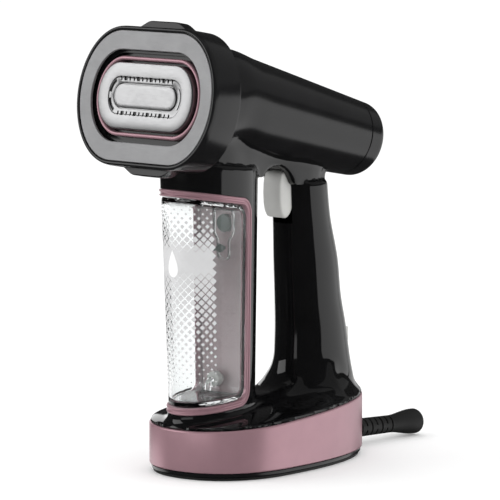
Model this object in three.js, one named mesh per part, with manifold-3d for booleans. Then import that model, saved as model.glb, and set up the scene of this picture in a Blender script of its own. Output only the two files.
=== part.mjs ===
// Handheld garment steamer standing on its wide foot: a pitched head with a steam plate,
// a barrel behind it, a column that carries the water tank, and a grip with a trigger.
// Millimetres, +Z up. The steam plate faces -Y, the cord guard leaves at +Y, and the origin
// is on the resting plane, under the middle of the foot.
import * as THREE from 'three';
import * as BufferGeometryUtils from 'three/addons/utils/BufferGeometryUtils.js';
import Module from 'manifold-3d';

// ---------------------------------------------------------------- driving dimensions
const GAP = 0.3;                 // clearance between neighbouring pieces
const WALL = 2.4;                // moulded shell thickness

const FOOT_HALF_WIDTH = 48.8;    // plan of the foot: an egg, fuller at the front
const FOOT_FRONT = 56.2;         // reach of its front half from the widest line
const FOOT_REAR = 110.4;         // reach of its rear half
const FOOT_WIDEST_Y = -22.4;
const BAND_BOTTOM = 4.9;         // rose band around the foot
const BAND_RIM_Z = 36.0;         // height of its tilted top edge at y = 0
const BAND_RIM_SLOPE = 0.06;

const HEAD_PITCH = THREE.MathUtils.degToRad(9.85);
const HEAD_Y = -103;             // centre of the front face of the head
const HEAD_Z = 245.2;
const HEAD_HALF_WIDTH = 60.6;    // outside of the front cover
const HEAD_HALF_HEIGHT = 44.5;
const HEAD_STRAIGHT = 25;        // half length of the straight edges of its racetrack outline
const COVER_DEPTH = 24;          // how far the front cover reaches back
const COVER_BORDER = 2.9;        // black border around the grey face

const SOLE_HALF_WIDTH = 41.3;    // silver steam plate
const SOLE_HALF_HEIGHT = 21.2;
const SOLE_STRAIGHT = 23.6;

const BARREL_REAR_Y = 99;        // middle of the rear end of the barrel
const BARREL_REAR_R = 24.5;
const BARREL_WAIST_Y = -18;      // station where the barrel is round and straight behind
const BARREL_WAIST_Z = 233.9;
const BARREL_WAIST_R = 32.4;
const BARREL_SLOPE = 0.247;      // fall of the axis per millimetre towards the rear

const BAY_REAR_Y = -29.4;         // rear edge of the tank bay in the column
const BAY_TOP_Z = 185.3;         // top edge at the nose of the column
const BAY_TOP_SLOPE = -0.16;
const BAY_BOTTOM_Z = 39.7;       // bottom edge at the nose
const BAY_BOTTOM_SLOPE = 0.1;
const BAY_NOSE_Y = -80;
const BAY_CORNER = 8;            // radius of the two rear corners
const TRIM_WIDTH = 4.6;

const GAP_ARCH_Y = 4;            // finger gap between column and grip: centre of its arch
const GAP_ARCH_Z = 175;
const GAP_ARCH_R = 18.5;

const TRIGGER_HALF_WIDTH = 8;
const TRIGGER_PIVOT_Y = 34;
const TRIGGER_PIVOT_Z = 187;

const VALVE_Z = 60;              // outlet of the tank, low on its rear wall
const CONTROL_Z = 71;            // middle of the two buttons on the back of the grip
const GUARD_START_Y = 87.2;
const GUARD_LENGTH = 72;
const GUARD_RADIUS = 6.3;
const GUARD_FLARE = 8.5;         // radius of its rear end
const GUARD_BORE = 3.4;
const GUARD_Z = 11.5;            // height of the guard's axis where it leaves the foot
const GUARD_DROOP = 0.036;       // fall of the axis per millimetre

const RING = 32;                 // points in one cross-section of the body
const FOOT_RING = 44;            // points in the plan of the foot

// ---------------------------------------------------------------- materials
const plastic = (color, roughness) => new THREE.MeshStandardMaterial({ color, roughness, metalness: 0 });
const metal = (color, roughness) => new THREE.MeshStandardMaterial({ color, roughness, metalness: 1 });
const clear = (color) => new THREE.MeshStandardMaterial({
  color, roughness: 0.05, metalness: 0, transparent: true, opacity: 0.35,
});
const glossBlack = () => plastic(0x0b0b0c, 0.12);
const satinBlack = () => plastic(0x161617, 0.42);
const rose = () => plastic(0xa9838a, 0.35);
const rubber = () => plastic(0x1b1b1b, 0.85);
const silver = () => metal(0xd8d8da, 0.25);
const greyPlate = () => metal(0x9c9d9f, 0.4);
const lightGrey = () => plastic(0xa4a49c, 0.45);
const steel = () => metal(0xb8babd, 0.3);
const brass = () => metal(0xb08d4a, 0.35);

// ---------------------------------------------------------------- solids
const wasm = await Module();
wasm.setup();

function toSolid(geometry) {
  const bare = geometry.clone();
  bare.deleteAttribute('normal');
  bare.deleteAttribute('uv');
  const merged = BufferGeometryUtils.mergeVertices(bare, 1e-4);
  return new wasm.Manifold(new wasm.Mesh({
    numProp: 3,
    vertProperties: new Float32Array(merged.attributes.position.array),
    triVerts: new Uint32Array(merged.index.array),
  }));
}

function toGeometry(solid) {
  const mesh = solid.getMesh();
  const geometry = new THREE.BufferGeometry();
  geometry.setAttribute('position', new THREE.BufferAttribute(new Float32Array(mesh.vertProperties), 3));
  geometry.setIndex(new THREE.BufferAttribute(new Uint32Array(mesh.triVerts), 1));
  geometry.computeVertexNormals();
  return geometry;
}

const join = (first, ...others) => others.reduce((sum, next) => sum.add(next), first);
const cut = (first, ...others) => others.reduce((rest, next) => rest.subtract(next), first);
const meet = (first, ...others) => others.reduce((common, next) => common.intersect(next), first);

function shaped(geometry, { at = [0, 0, 0], turn = [0, 0, 0] } = {}) {
  const matrix = new THREE.Matrix4().makeRotationFromEuler(new THREE.Euler(...turn));
  matrix.setPosition(...at);
  return toSolid(geometry.clone().applyMatrix4(matrix));
}

// A box between two corners.
function block(low, high) {
  const size = high.map((value, i) => value - low[i]);
  const middle = high.map((value, i) => (value + low[i]) / 2);
  return shaped(new THREE.BoxGeometry(...size), { at: middle });
}

// A round bar along one axis, between two heights on that axis.
function bar(axis, radius, from, to, [a, b], sides = 16) {
  const geometry = new THREE.CylinderGeometry(radius, radius, to - from, sides);
  const middle = (from + to) / 2;
  if (axis === 'x') return shaped(geometry, { at: [middle, a, b], turn: [0, 0, Math.PI / 2] });
  if (axis === 'y') return shaped(geometry, { at: [a, middle, b] });
  return shaped(geometry, { at: [a, b, middle], turn: [Math.PI / 2, 0, 0] });
}

// A closed solid through a list of rings with equal numbers of points, capped at both ends.
function loft(rings) {
  const count = rings[0].length;
  const points = rings.flat();
  const centre = (ring) => ring.reduce((sum, p) => sum.add(p), new THREE.Vector3()).divideScalar(count);
  const startCap = points.push(centre(rings[0])) - 1;
  const endCap = points.push(centre(rings.at(-1))) - 1;
  const faces = [];
  for (let i = 0; i < count; i += 1) {
    const next = (i + 1) % count;
    for (let k = 0; k + 1 < rings.length; k += 1) {
      const a = k * count;
      const b = a + count;
      faces.push(a + i, a + next, b + next, a + i, b + next, b + i);
    }
    const last = (rings.length - 1) * count;
    faces.push(startCap, next, i, endCap, last + i, last + next);
  }
  const geometry = new THREE.BufferGeometry().setFromPoints(points);
  geometry.setIndex(faces);
  const solid = toSolid(geometry);
  if (solid.volume() > 0) return solid;
  for (let f = 0; f < faces.length; f += 3) [faces[f], faces[f + 1]] = [faces[f + 1], faces[f]];
  geometry.setIndex(faces);
  return toSolid(geometry);
}

// A swept round tube through a few points.
function tube(points, radius, steps, sides = 10) {
  const section = new THREE.Shape();
  for (let i = 0; i < sides; i += 1) {
    const angle = (2 * Math.PI * i) / sides;
    const corner = [radius * Math.cos(angle), radius * Math.sin(angle)];
    if (i === 0) section.moveTo(...corner);
    else section.lineTo(...corner);
  }
  const path = new THREE.CatmullRomCurve3(points.map((p) => new THREE.Vector3(...p)));
  return toSolid(new THREE.ExtrudeGeometry(section, { steps, extrudePath: path, bevelEnabled: false }));
}

// ---------------------------------------------------------------- outlines and sections
const signedPower = (value, power) => Math.sign(value) * Math.abs(value) ** power;
const angleOf = (i, count) => (2 * Math.PI * i) / count;

// One horizontal oval ring: half sizes, middle of its length, height and squareness.
function ovalRing({ ax, by, cy, z, power = 2.1, count = RING }) {
  return Array.from({ length: count }, (_, i) => {
    const angle = angleOf(i, count);
    const x = ax * signedPower(Math.cos(angle), 2 / power);
    const y = cy + by * signedPower(Math.sin(angle), 2 / power);
    return new THREE.Vector3(x, y, z);
  });
}

const rimZ = (y) => BAND_RIM_Z + BAND_RIM_SLOPE * y;

// The plan of the foot, drawn in by an inset, at a height that may follow the tilted rim.
function footRing(inset, height) {
  return Array.from({ length: FOOT_RING }, (_, i) => {
    const angle = angleOf(i, FOOT_RING);
    const reach = Math.sin(angle) > 0 ? FOOT_REAR : FOOT_FRONT;
    const x = (FOOT_HALF_WIDTH - inset) * signedPower(Math.cos(angle), 2 / 2.2);
    const y = FOOT_WIDEST_Y + (reach - inset) * signedPower(Math.sin(angle), 2 / 2.2);
    return new THREE.Vector3(x, y, typeof height === 'function' ? height(y) : height);
  });
}

// A racetrack outline with elliptical ends, as a shape in the plane of the head.
function racetrack(halfWidth, halfHeight, straight, count = 32) {
  const shape = new THREE.Shape();
  const half = count / 2;
  for (let i = 0; i < count; i += 1) {
    const side = i < half ? 1 : -1;
    const angle = (side > 0 ? -Math.PI / 2 : Math.PI / 2) + (Math.PI * (i % half)) / (half - 1);
    const x = side * straight + (halfWidth - straight) * Math.cos(angle);
    const y = halfHeight * Math.sin(angle);
    if (i === 0) shape.moveTo(x, y);
    else shape.lineTo(x, y);
  }
  shape.closePath();
  return shape;
}

// A slab of the head: an outline with holes between two depths behind the front face.
function headSlab(outline, holes, front, rear) {
  const shape = outline.clone();
  shape.holes = holes;
  const geometry = new THREE.ExtrudeGeometry(shape, { depth: rear - front, bevelEnabled: false });
  return shaped(geometry, { at: [0, rear, 0], turn: [Math.PI / 2, 0, 0] });
}

// A slab standing in the side view: a (y, z) outline between two x values.
function sideSlab(points, from, to) {
  const shape = new THREE.Shape(points.map(([y, z]) => new THREE.Vector2(y, z)));
  const geometry = new THREE.ExtrudeGeometry(shape, { depth: to - from, bevelEnabled: false });
  const matrix = new THREE.Matrix4().makeBasis(
    new THREE.Vector3(0, 1, 0), new THREE.Vector3(0, 0, 1), new THREE.Vector3(1, 0, 0),
  );
  matrix.setPosition(from, 0, 0);
  return toSolid(geometry.applyMatrix4(matrix));
}

// ---------------------------------------------------------------- outer forms
// Each form takes an offset, so that a shell or a clearance can be cut with the same form.
const COLUMN_STATIONS = [
  { z: 30, ax: 22.6, by: 32.2, cy: -42.5 },
  { z: 61, ax: 23.0, by: 32.6, cy: -42.7 },
  { z: 125, ax: 24.1, by: 34.3, cy: -43.6 },
  { z: 187, ax: 25.2, by: 36.0, cy: -44.6 },
  { z: 220, ax: 25.8, by: 36.8, cy: -45.0 },
];
const GRIP_STATIONS = [
  { z: 30, ax: 27.0, by: 30.5, cy: 55.6 },
  { z: 37, ax: 25.0, by: 31.0, cy: 55.4 },
  { z: 47, ax: 23.0, by: 30.6, cy: 55.0 },
  { z: 62, ax: 21.3, by: 28.8, cy: 53.6 },
  { z: 86, ax: 20.0, by: 26.2, cy: 51.8 },
  { z: 105, ax: 19.0, by: 24.4, cy: 49.3 },
  { z: 130, ax: 18.4, by: 23.3, cy: 47.0 },
  { z: 160, ax: 17.0, by: 19.8, cy: 42.5 },
  { z: 215, ax: 15.6, by: 18.4, cy: 38.0 },
];
const standing = (stations, offset) => loft(stations.map(({ z, ax, by, cy }) => (
  ovalRing({ ax: ax + offset, by: by + offset, cy, z })
)));
const columnForm = (offset) => standing(COLUMN_STATIONS, offset);
const gripForm = (offset) => standing(GRIP_STATIONS, offset);

const axisZ = (y) => BARREL_WAIST_Z - BARREL_SLOPE * (y - BARREL_WAIST_Y);
const barrelPitch = Math.atan(BARREL_SLOPE);

// One ring of the barrel, square to its own pitch, through a centre on the middle plane.
function barrelRing({ y, z, rx, rz, pitch, power = 2 }, offset) {
  return Array.from({ length: RING }, (_, i) => {
    const angle = angleOf(i, RING);
    const x = (rx + offset) * signedPower(Math.cos(angle), 2 / power);
    const up = (rz + offset) * signedPower(Math.sin(angle), 2 / power);
    return new THREE.Vector3(x, y + up * Math.sin(pitch), z + up * Math.cos(pitch));
  });
}

function onHead(depth) {
  return {
    y: HEAD_Y + depth * Math.cos(HEAD_PITCH),
    z: HEAD_Z - depth * Math.sin(HEAD_PITCH),
    pitch: HEAD_PITCH,
  };
}

const BARREL_FRONT = COVER_DEPTH + GAP;
const BARREL_STATIONS = [
  { ...onHead(BARREL_FRONT), rx: 54, rz: 40, power: 2.4 },
  { ...onHead(BARREL_FRONT + 5), rx: 44, rz: 38, power: 2.2 },
  { ...onHead(BARREL_FRONT + 15), rx: 36.5, rz: 36 },
  { y: -42, z: axisZ(-42), pitch: barrelPitch, rx: 33.9, rz: 34 },
  { y: BARREL_WAIST_Y, z: BARREL_WAIST_Z, pitch: barrelPitch, rx: BARREL_WAIST_R, rz: BARREL_WAIST_R },
  {
    y: BARREL_REAR_Y, z: axisZ(BARREL_REAR_Y), pitch: barrelPitch, rx: BARREL_REAR_R, rz: BARREL_REAR_R,
  },
];
const BARREL_SEAM_Y = BARREL_REAR_Y - 15;

// The barrel's outer form with its rounded rear edge, grown by an offset.
function barrelForm(offset) {
  const rear = BARREL_STATIONS.at(-1);
  const round = 4;
  const rounded = [0, 30, 60, 90].map((degrees) => {
    const angle = THREE.MathUtils.degToRad(degrees);
    const y = rear.y - round * (1 - Math.sin(angle));
    const radius = rear.rx - round * (1 - Math.cos(angle));
    return { ...rear, y, z: axisZ(y), rx: radius, rz: radius };
  });
  return loft([...BARREL_STATIONS.slice(0, -1), ...rounded].map((s) => barrelRing(s, offset)));
}

// The hollow inside the barrel, run out past its front mouth.
function barrelHollow() {
  const mouth = { ...BARREL_STATIONS[0], ...onHead(BARREL_FRONT - 6) };
  const rear = { ...BARREL_STATIONS.at(-1), y: BARREL_REAR_Y - 4, z: axisZ(BARREL_REAR_Y - 4) };
  return loft([mouth, ...BARREL_STATIONS.slice(0, -1), rear].map((s) => barrelRing(s, -WALL)));
}

// Half-space behind (or ahead of) a plane square to the barrel's axis.
function acrossBarrel(fromY, toY) {
  const rings = [fromY, toY].map((y) => barrelRing({
    y, z: axisZ(y), pitch: barrelPitch, rx: 60, rz: 60,
  }, 0));
  return loft(rings);
}

const footTopForm = (lift) => loft([
  footRing(3, (y) => rimZ(y) - 9),
  footRing(3, (y) => rimZ(y) + GAP + lift),
  footRing(0.4, (y) => rimZ(y) + GAP + 0.05 + lift),
  footRing(0.9, (y) => rimZ(y) + 1.5 + lift),
  footRing(6, (y) => rimZ(y) + 2.6 + lift),
  footRing(14, (y) => rimZ(y) + 4 + lift),
  footRing(24, (y) => rimZ(y) + 5 + lift),
]);

// Everything up to just above the tilted rim, wider than the foot.
const belowRim = () => loft([footRing(-5, 0), footRing(-5, (y) => rimZ(y) + 5 * GAP)]);

// Side view of the tank bay, drawn in by an inset, with its two rear corners rounded.
function bayOutline(inset, corner) {
  const rear = BAY_REAR_Y - inset;
  const nose = -110;
  const top = (y) => BAY_TOP_Z + BAY_TOP_SLOPE * (y - BAY_NOSE_Y) - inset;
  const bottom = (y) => BAY_BOTTOM_Z + BAY_BOTTOM_SLOPE * (y - BAY_NOSE_Y) + inset;
  const arc = (z, from, to) => Array.from({ length: 5 }, (_, i) => {
    const angle = THREE.MathUtils.degToRad(from + ((to - from) * i) / 4);
    return [rear - corner + corner * Math.cos(angle), z + corner * Math.sin(angle)];
  });
  return [
    [nose, bottom(nose)],
    ...arc(bottom(rear - corner) + corner, -90, 0),
    ...arc(top(rear - corner) - corner, 0, 90),
    [nose, top(nose)],
  ];
}
const BAY_SLAB_HALF = 40;         // wider than the column
const baySlab = (inset, corner) => sideSlab(bayOutline(inset, corner), -BAY_SLAB_HALF, BAY_SLAB_HALF);

// ---------------------------------------------------------------- assembly
const steamer = new THREE.Group();
const head = new THREE.Group();
head.position.set(0, HEAD_Y, HEAD_Z);
head.rotation.x = -HEAD_PITCH;
steamer.add(head);

function place(name, solid, material, parent = steamer) {
  const mesh = new THREE.Mesh(toGeometry(solid), material);
  mesh.name = name;
  parent.add(mesh);
}

// Foot: rubber pad, bottom cover, rose band and glossy top cover.
function makeFoot() {
  place('anti_slip_pad', loft([footRing(2.6, 0), footRing(2.2, 1.8)]), rubber());
  const seat = GAP + 1.8;
  const bottom = loft([footRing(1.3, seat), footRing(1.2, BAND_BOTTOM - GAP)]);
  place('bottom_cover', bottom, satinBlack());
  const guardHole = bar('y', 6.75, 60, 100, [0, GUARD_Z], 20);
  const bandOuter = loft([footRing(0.6, BAND_BOTTOM), footRing(0, BAND_BOTTOM + 0.8), footRing(0, rimZ)]);
  const bandInner = loft([footRing(WALL, BAND_BOTTOM - 1), footRing(WALL, (y) => rimZ(y) + 1)]);
  place('foot_band', cut(bandOuter, bandInner, guardHole), rose());
  const under = loft([
    footRing(5.2, (y) => rimZ(y) - 10),
    footRing(5.2, (y) => rimZ(y) - 1),
    footRing(16, (y) => rimZ(y) + 1.6),
    footRing(26, (y) => rimZ(y) + 2.6),
  ]);
  const hosePass = bar('z', 5, 20, 60, [0, -20], 12);
  const leadPass = bar('z', 5, 20, 60, [0, 58], 12);
  place('foot_top_cover', cut(footTopForm(0), under, hosePass, leadPass), glossBlack());
}

// Column: spine with the tank bay, rose trim loop and rose back panel.
function makeColumn() {
  const body = cut(
    columnForm(0), belowRim(), footTopForm(GAP), barrelForm(GAP), baySlab(-GAP, BAY_CORNER),
    bar('z', 5, 20, 215, [0, -19.5], 12), bar('y', 4.2, -40, -19.5, [0, VALVE_Z], 12),
  );
  place('column_spine', body, glossBlack());
  const skin = cut(columnForm(0.35), columnForm(-3));
  const loop = cut(baySlab(0, BAY_CORNER), baySlab(TRIM_WIDTH, BAY_CORNER - 3));
  place('bay_trim', meet(skin, loop), rose());
  const panel = meet(
    columnForm(-3.6),
    cut(baySlab(0.3, BAY_CORNER), block([-40, -120, 0], [40, BAY_REAR_Y - 1.6, 240])),
  );
  const outlet = bar('y', 3.2, -40, -20, [0, VALVE_Z], 12);
  place('bay_back_panel', cut(panel, outlet), rose());
}

// Bridge over the finger gap, between column and grip, under the barrel.
function makeBridge() {
  const arch = bar('x', GAP_ARCH_R, -40, 40, [GAP_ARCH_Y, GAP_ARCH_Z], 32);
  const below = block([-40, GAP_ARCH_Y - GAP_ARCH_R, 120], [40, GAP_ARCH_Y + GAP_ARCH_R, GAP_ARCH_Z]);
  const raw = block([-15, -30, 176], [15, 34, 222]);
  const around = [columnForm(GAP), gripForm(GAP), barrelForm(GAP), triggerSlot()];
  place('bridge', cut(raw, arch, below, ...around), glossBlack());
}

const triggerSlot = () => block(
  [-TRIGGER_HALF_WIDTH - 0.5, 10, 156], [TRIGGER_HALF_WIDTH + 0.5, 40, 191.5],
);

// Grip: two mirrored shells with a slot for the trigger and a seat for the buttons.
function makeGrip() {
  const seat = block([-9, 68, CONTROL_Z - 14.5], [9, 100, CONTROL_Z + 14.5]);
  const hollow = meet(gripForm(-WALL), block([-40, 0, 20], [40, 110, 190]));
  const pinHole = bar('x', 1.3, -14.9, 14.9, [TRIGGER_PIVOT_Y, TRIGGER_PIVOT_Z], 12);
  const inside = [hollow, triggerSlot(), seat, pinHole, bar('z', 5, 180, 220, [0, 45], 12)];
  const shell = cut(gripForm(0), ...inside, belowRim(), footTopForm(GAP), barrelForm(GAP));
  place('grip_shell_left', meet(shell, block([-60, 0, 20], [-GAP / 2, 110, 230])), glossBlack());
  place('grip_shell_right', meet(shell, block([GAP / 2, 0, 20], [60, 110, 230])), glossBlack());
}

// Barrel: one tapered tube and its rear cap.
function makeBarrel() {
  const wall = cut(barrelForm(0), barrelHollow());
  const hosePass = bar('z', 6, 180, 215, [0, -19.5], 14);
  const leadPass = bar('z', 5, 170, 212, [0, 45], 12);
  const shell = cut(wall, acrossBarrel(BARREL_SEAM_Y, 160), hosePass, leadPass);
  place('barrel_shell', shell, satinBlack());
  const cap = cut(meet(barrelForm(0), acrossBarrel(BARREL_SEAM_Y + GAP, 160)), barrelHollow());
  place('barrel_end_cap', cap, satinBlack());
}

// Front cover that pulls off the head: sleeve with a border, grey face and two finger tabs.
function makeCover() {
  const outer = racetrack(HEAD_HALF_WIDTH, HEAD_HALF_HEIGHT, HEAD_STRAIGHT);
  const face = racetrack(HEAD_HALF_WIDTH - COVER_BORDER, HEAD_HALF_HEIGHT - COVER_BORDER, HEAD_STRAIGHT);
  const bore = racetrack(HEAD_HALF_WIDTH - 2, HEAD_HALF_HEIGHT - 2, HEAD_STRAIGHT);
  const window = racetrack(49, 31, 24);
  const tabs = [1, -1].map((side) => {
    const shape = new THREE.Shape();
    const base = HEAD_HALF_HEIGHT - 1.5;
    shape.moveTo(-23, side * base);
    shape.lineTo(-13, side * (base + 6));
    shape.lineTo(13, side * (base + 6));
    shape.lineTo(23, side * base);
    shape.closePath();
    return headSlab(shape, [], 9, 19);
  });
  const sleeve = cut(
    headSlab(outer, [], -0.4, COVER_DEPTH),
    headSlab(face, [], -2, 1.9),
    headSlab(bore, [], 4.2, COVER_DEPTH + 2),
    headSlab(window, [], -3, 8),
  );
  const tabRoom = headSlab(bore, [], 4.2, COVER_DEPTH + 2);
  place('cover_sleeve', join(sleeve, ...tabs.map((tab) => cut(tab, tabRoom))), satinBlack(), head);
  const inset = COVER_BORDER + GAP;
  const plateOutline = racetrack(HEAD_HALF_WIDTH - inset, HEAD_HALF_HEIGHT - inset, HEAD_STRAIGHT);
  place('cover_face_plate', headSlab(plateOutline, [racetrack(47.5, 29.3, 23.9)], 0, 1.6), greyPlate(), head);
}

// Head core: housing ring, rose ring, steam plate with its channel, holes and smooth insert.
function makeHeadCore() {
  const core = racetrack(HEAD_HALF_WIDTH - 2.6, HEAD_HALF_HEIGHT - 2.6, HEAD_STRAIGHT);
  const opening = racetrack(42.6, 22.6, 23.9);
  const roomBehind = racetrack(52, 36, 24);
  const ring = cut(
    headSlab(core, [opening], 4.6, COVER_DEPTH - 0.2),
    headSlab(roomBehind, [], 11, COVER_DEPTH + 1),
    headSlab(racetrack(46.3, 27.7, 23.9), [], 3, 8.4),
  );
  place('head_housing', ring, satinBlack(), head);
  const trim = headSlab(racetrack(46, 27.4, 23.9), [racetrack(42.2, 22.2, 23.9)], 5, 8.1);
  place('rose_ring', trim, rose(), head);
  const sole = headSlab(racetrack(SOLE_HALF_WIDTH, SOLE_HALF_HEIGHT, SOLE_STRAIGHT), [], -0.3, 8.6);
  const channel = headSlab(racetrack(31.6, 13.4, 18), [], -2, 0.9);
  const holes = [];
  for (let i = 0; i < 9; i += 1) {
    const x = (i - 4) * 5.6;
    const radius = i % 2 === 0 ? 1.3 : 0.8;
    for (const z of [-10.6, 10.6]) holes.push(bar('y', radius, -2, 12, [x, z], 6));
  }
  place('steam_plate', cut(sole, channel, ...holes), silver(), head);
  place('plate_insert', headSlab(racetrack(26.9, 7.2, 20), [], -0.1, 0.6), silver(), head);
}

// Steam generator behind the plate, in the head's own frame.
function makeGenerator() {
  const sides = 28;
  const outline = racetrack(38, 18.2, 22, sides);
  const gasketHole = racetrack(35, 15.2, 22, sides);
  place('generator_gasket', headSlab(outline, [gasketHole], 8.9, 10.1), rubber(), head);
  const chamber = headSlab(racetrack(33, 13.5, 20, sides), [], 9, 20);
  const casting = cut(headSlab(outline, [], 10.4, 27), chamber);
  place('steam_generator', casting, metal(0x9a9c9f, 0.55), head);
  const wrapOuter = racetrack(41.5, 21.7, 23, sides);
  const wrapInner = racetrack(38.6, 18.8, 22, sides);
  place('insulation_wrap', headSlab(wrapOuter, [wrapInner], 11.5, 26), plastic(0xc9c2ad, 0.95), head);
  const lid = headSlab(racetrack(36, 16.6, 22, sides), [], 27.3, 29.3);
  place('generator_cover', lid, metal(0x8c8e91, 0.5), head);
  const heaterDepth = 32.6;
  const bend = [[-24, -9], [-24, 2], [-18, 10.5], [0, 11.5], [18, 10.5], [24, 2], [24, -9]];
  const loop = tube(bend.map(([x, z]) => [x, heaterDepth, z]), 2.6, 26, 8);
  place('heating_element', loop, steel(), head);
  const thermostat = join(bar('y', 7.5, 29.6, 35, [0, 0], 20), bar('y', 3, 35, 39, [0, 0], 10));
  place('thermostat', thermostat, steel(), head);
  place('thermal_fuse', bar('x', 2, -8, 8, [32, -11], 10), brass(), head);
}

// Water path: pump with its rubber mounts, suction hose and delivery hose.
function makePump() {
  const tilt = { turn: [-barrelPitch, 0, 0] };
  const pumpZ = (y) => axisZ(y) + 1;
  const rod = (radius, from, to, sides = 18) => shaped(
    new THREE.CylinderGeometry(radius, radius, to - from, sides),
    { at: [0, (from + to) / 2, pumpZ((from + to) / 2)], ...tilt },
  );
  const pump = join(rod(9, -6, 34), rod(3.6, -14, -3, 12), rod(3.6, 30, 40, 12));
  place('pump_body', pump, plastic(0x2b3038, 0.5));
  const coil = shaped(new THREE.BoxGeometry(32, 18, 28), { at: [0, 14, pumpZ(14)], ...tilt });
  place('pump_coil', cut(coil, rod(9.3, -20, 50)), metal(0x8a5a34, 0.45));
  for (const [name, y] of [['pump_mount_front', -2], ['pump_mount_rear', 30]]) {
    const ring = cut(rod(13, y - 2, y + 2, 20), rod(9.3, -20, 50));
    place(name, ring, rubber());
  }
  const suction = tube([
    [0, -29.2, VALVE_Z], [0, -24.5, VALVE_Z + 0.2], [0, -20.6, VALVE_Z + 3],
    [0, -19.5, VALVE_Z + 9], [0, -19.5, 110], [0, -19.5, 160], [0, -19.5, 200], [0, -19.5, 222],
  ], 2.6, 30, 8);
  place('suction_hose', suction, clear(0xe8e8e0));
  const delivery = tube([
    [0, -24, 237], [0, -34, 240], [10, -50, 243], [15, -62, 243], [15, -69, 241.5],
  ], 2.4, 14, 8);
  place('delivery_hose', delivery, plastic(0xd8d4c8, 0.6));
}

// Water tank: clear hollow body, rear filler with its plug, floor valve and pick-up tube.
const FILLER = [6, 161];
function makeTank() {
  const rearWall = block([-60, BAY_REAR_Y - 2.4, 0], [60, 10, 260]);
  const innerRear = block([-60, BAY_REAR_Y - 4.6, 0], [60, 10, 260]);
  const outer = cut(meet(columnForm(-0.5), baySlab(TRIM_WIDTH + 0.4, BAY_CORNER - 3)), rearWall);
  const inner = cut(meet(columnForm(-2.6), baySlab(TRIM_WIDTH + 3, BAY_CORNER - 4)), innerRear);
  const filler = bar('y', 6, -50, -20, FILLER, 20);
  const valve = bar('y', 3.2, -50, -20, [0, VALVE_Z], 12);
  place('tank_body', cut(outer, inner, filler, valve), clear(0xdfe6ea));
  const plug = bar('y', 5.7, -38, -32.6, FILLER, 20);
  place('filler_plug', cut(plug, bar('y', 3.4, -34.4, -30, FILLER, 12)), rubber());
  const seat = bar('y', 5, -41.6, -37.4, [0, VALVE_Z], 16);
  place('tank_valve', join(bar('y', 2.9, -40, -33.2, [0, VALVE_Z], 12), seat), lightGrey());
  const pickUp = tube([[0, -42.5, VALVE_Z], [0, -45, VALVE_Z - 1.4], [0, -46, VALVE_Z - 7]], 2, 5, 8);
  place('pick_up_tube', pickUp, clear(0xe8e8e0));
}

// Trigger with its pivot pin, return spring and the switch that it presses.
function makeTrigger() {
  const profile = [
    [36, 191], [24, 191.2], [19, 189.6], [16.6, 186], [15.9, 178], [16.2, 168], [17.8, 162.4],
    [21, 159], [25, 157.6], [31.5, 158.2], [33, 163], [33.6, 176], [38, 182], [38, 189],
  ];
  const body = sideSlab(profile, -TRIGGER_HALF_WIDTH, TRIGGER_HALF_WIDTH);
  const pinHole = bar('x', 1.3, -20, 20, [TRIGGER_PIVOT_Y, TRIGGER_PIVOT_Z], 12);
  const lightening = block([-5.6, 22, 161.5], [5.6, 40, 182]);
  place('trigger', cut(body, pinHole, lightening), lightGrey());
  place('trigger_pin', bar('x', 1.0, -14.6, 14.6, [TRIGGER_PIVOT_Y, TRIGGER_PIVOT_Z], 12), steel());
  place('trigger_switch', block([-4, 41, 160], [4, 49.5, 173]), plastic(0x26282c, 0.5));
  place('switch_plunger', block([-1.2, 38.6, 164], [1.2, 40.7, 167]), plastic(0xb23a2e, 0.5));
}

// Return spring of the trigger, a small coil around its pin beside the trigger.
function makeTriggerSpring() {
  const turns = 3;
  const points = Array.from({ length: turns * 8 + 1 }, (_, i) => {
    const angle = (Math.PI * 2 * i) / 8;
    const [y, z] = [2.1 * Math.cos(angle), 2.1 * Math.sin(angle)];
    return [9.1 + 0.11 * i, TRIGGER_PIVOT_Y + y, TRIGGER_PIVOT_Z + z];
  });
  place('trigger_spring', tube(points, 0.4, turns * 12, 6), steel());
}

// Buttons on the back of the grip, with their bezel, board and lens.
function makeControls() {
  const cy = 78.2;
  const bezel = cut(
    block([-8.6, cy, CONTROL_Z - 14], [8.6, cy + 4.4, CONTROL_Z + 14]),
    block([-6.2, cy - 1, CONTROL_Z + 1], [6.2, cy + 8, CONTROL_Z + 11.5]),
    block([-6.2, cy - 1, CONTROL_Z - 11.5], [6.2, cy + 8, CONTROL_Z - 1]),
  );
  place('button_bezel', cut(bezel, bar('y', 1.3, cy - 1, cy + 8, [0, CONTROL_Z + 12.7], 10)), satinBlack());
  const button = (z) => join(
    block([-5.7, cy + 0.2, z - 4.7], [5.7, cy + 5.6, z + 4.7]),
    block([-2, cy - 1.4, z - 2], [2, cy + 0.2, z + 2]),
  );
  place('power_button', button(CONTROL_Z + 6.25), lightGrey());
  place('steam_level_button', button(CONTROL_Z - 6.25), lightGrey());
  place('indicator_lens', bar('y', 1, cy - 0.4, cy + 4.6, [0, CONTROL_Z + 12.7], 10), clear(0xffe2a8));
  place('button_board', block([-8, 72.6, CONTROL_Z - 13], [8, 74.2, CONTROL_Z + 13]), plastic(0x1f5b3a, 0.6));
}

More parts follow.
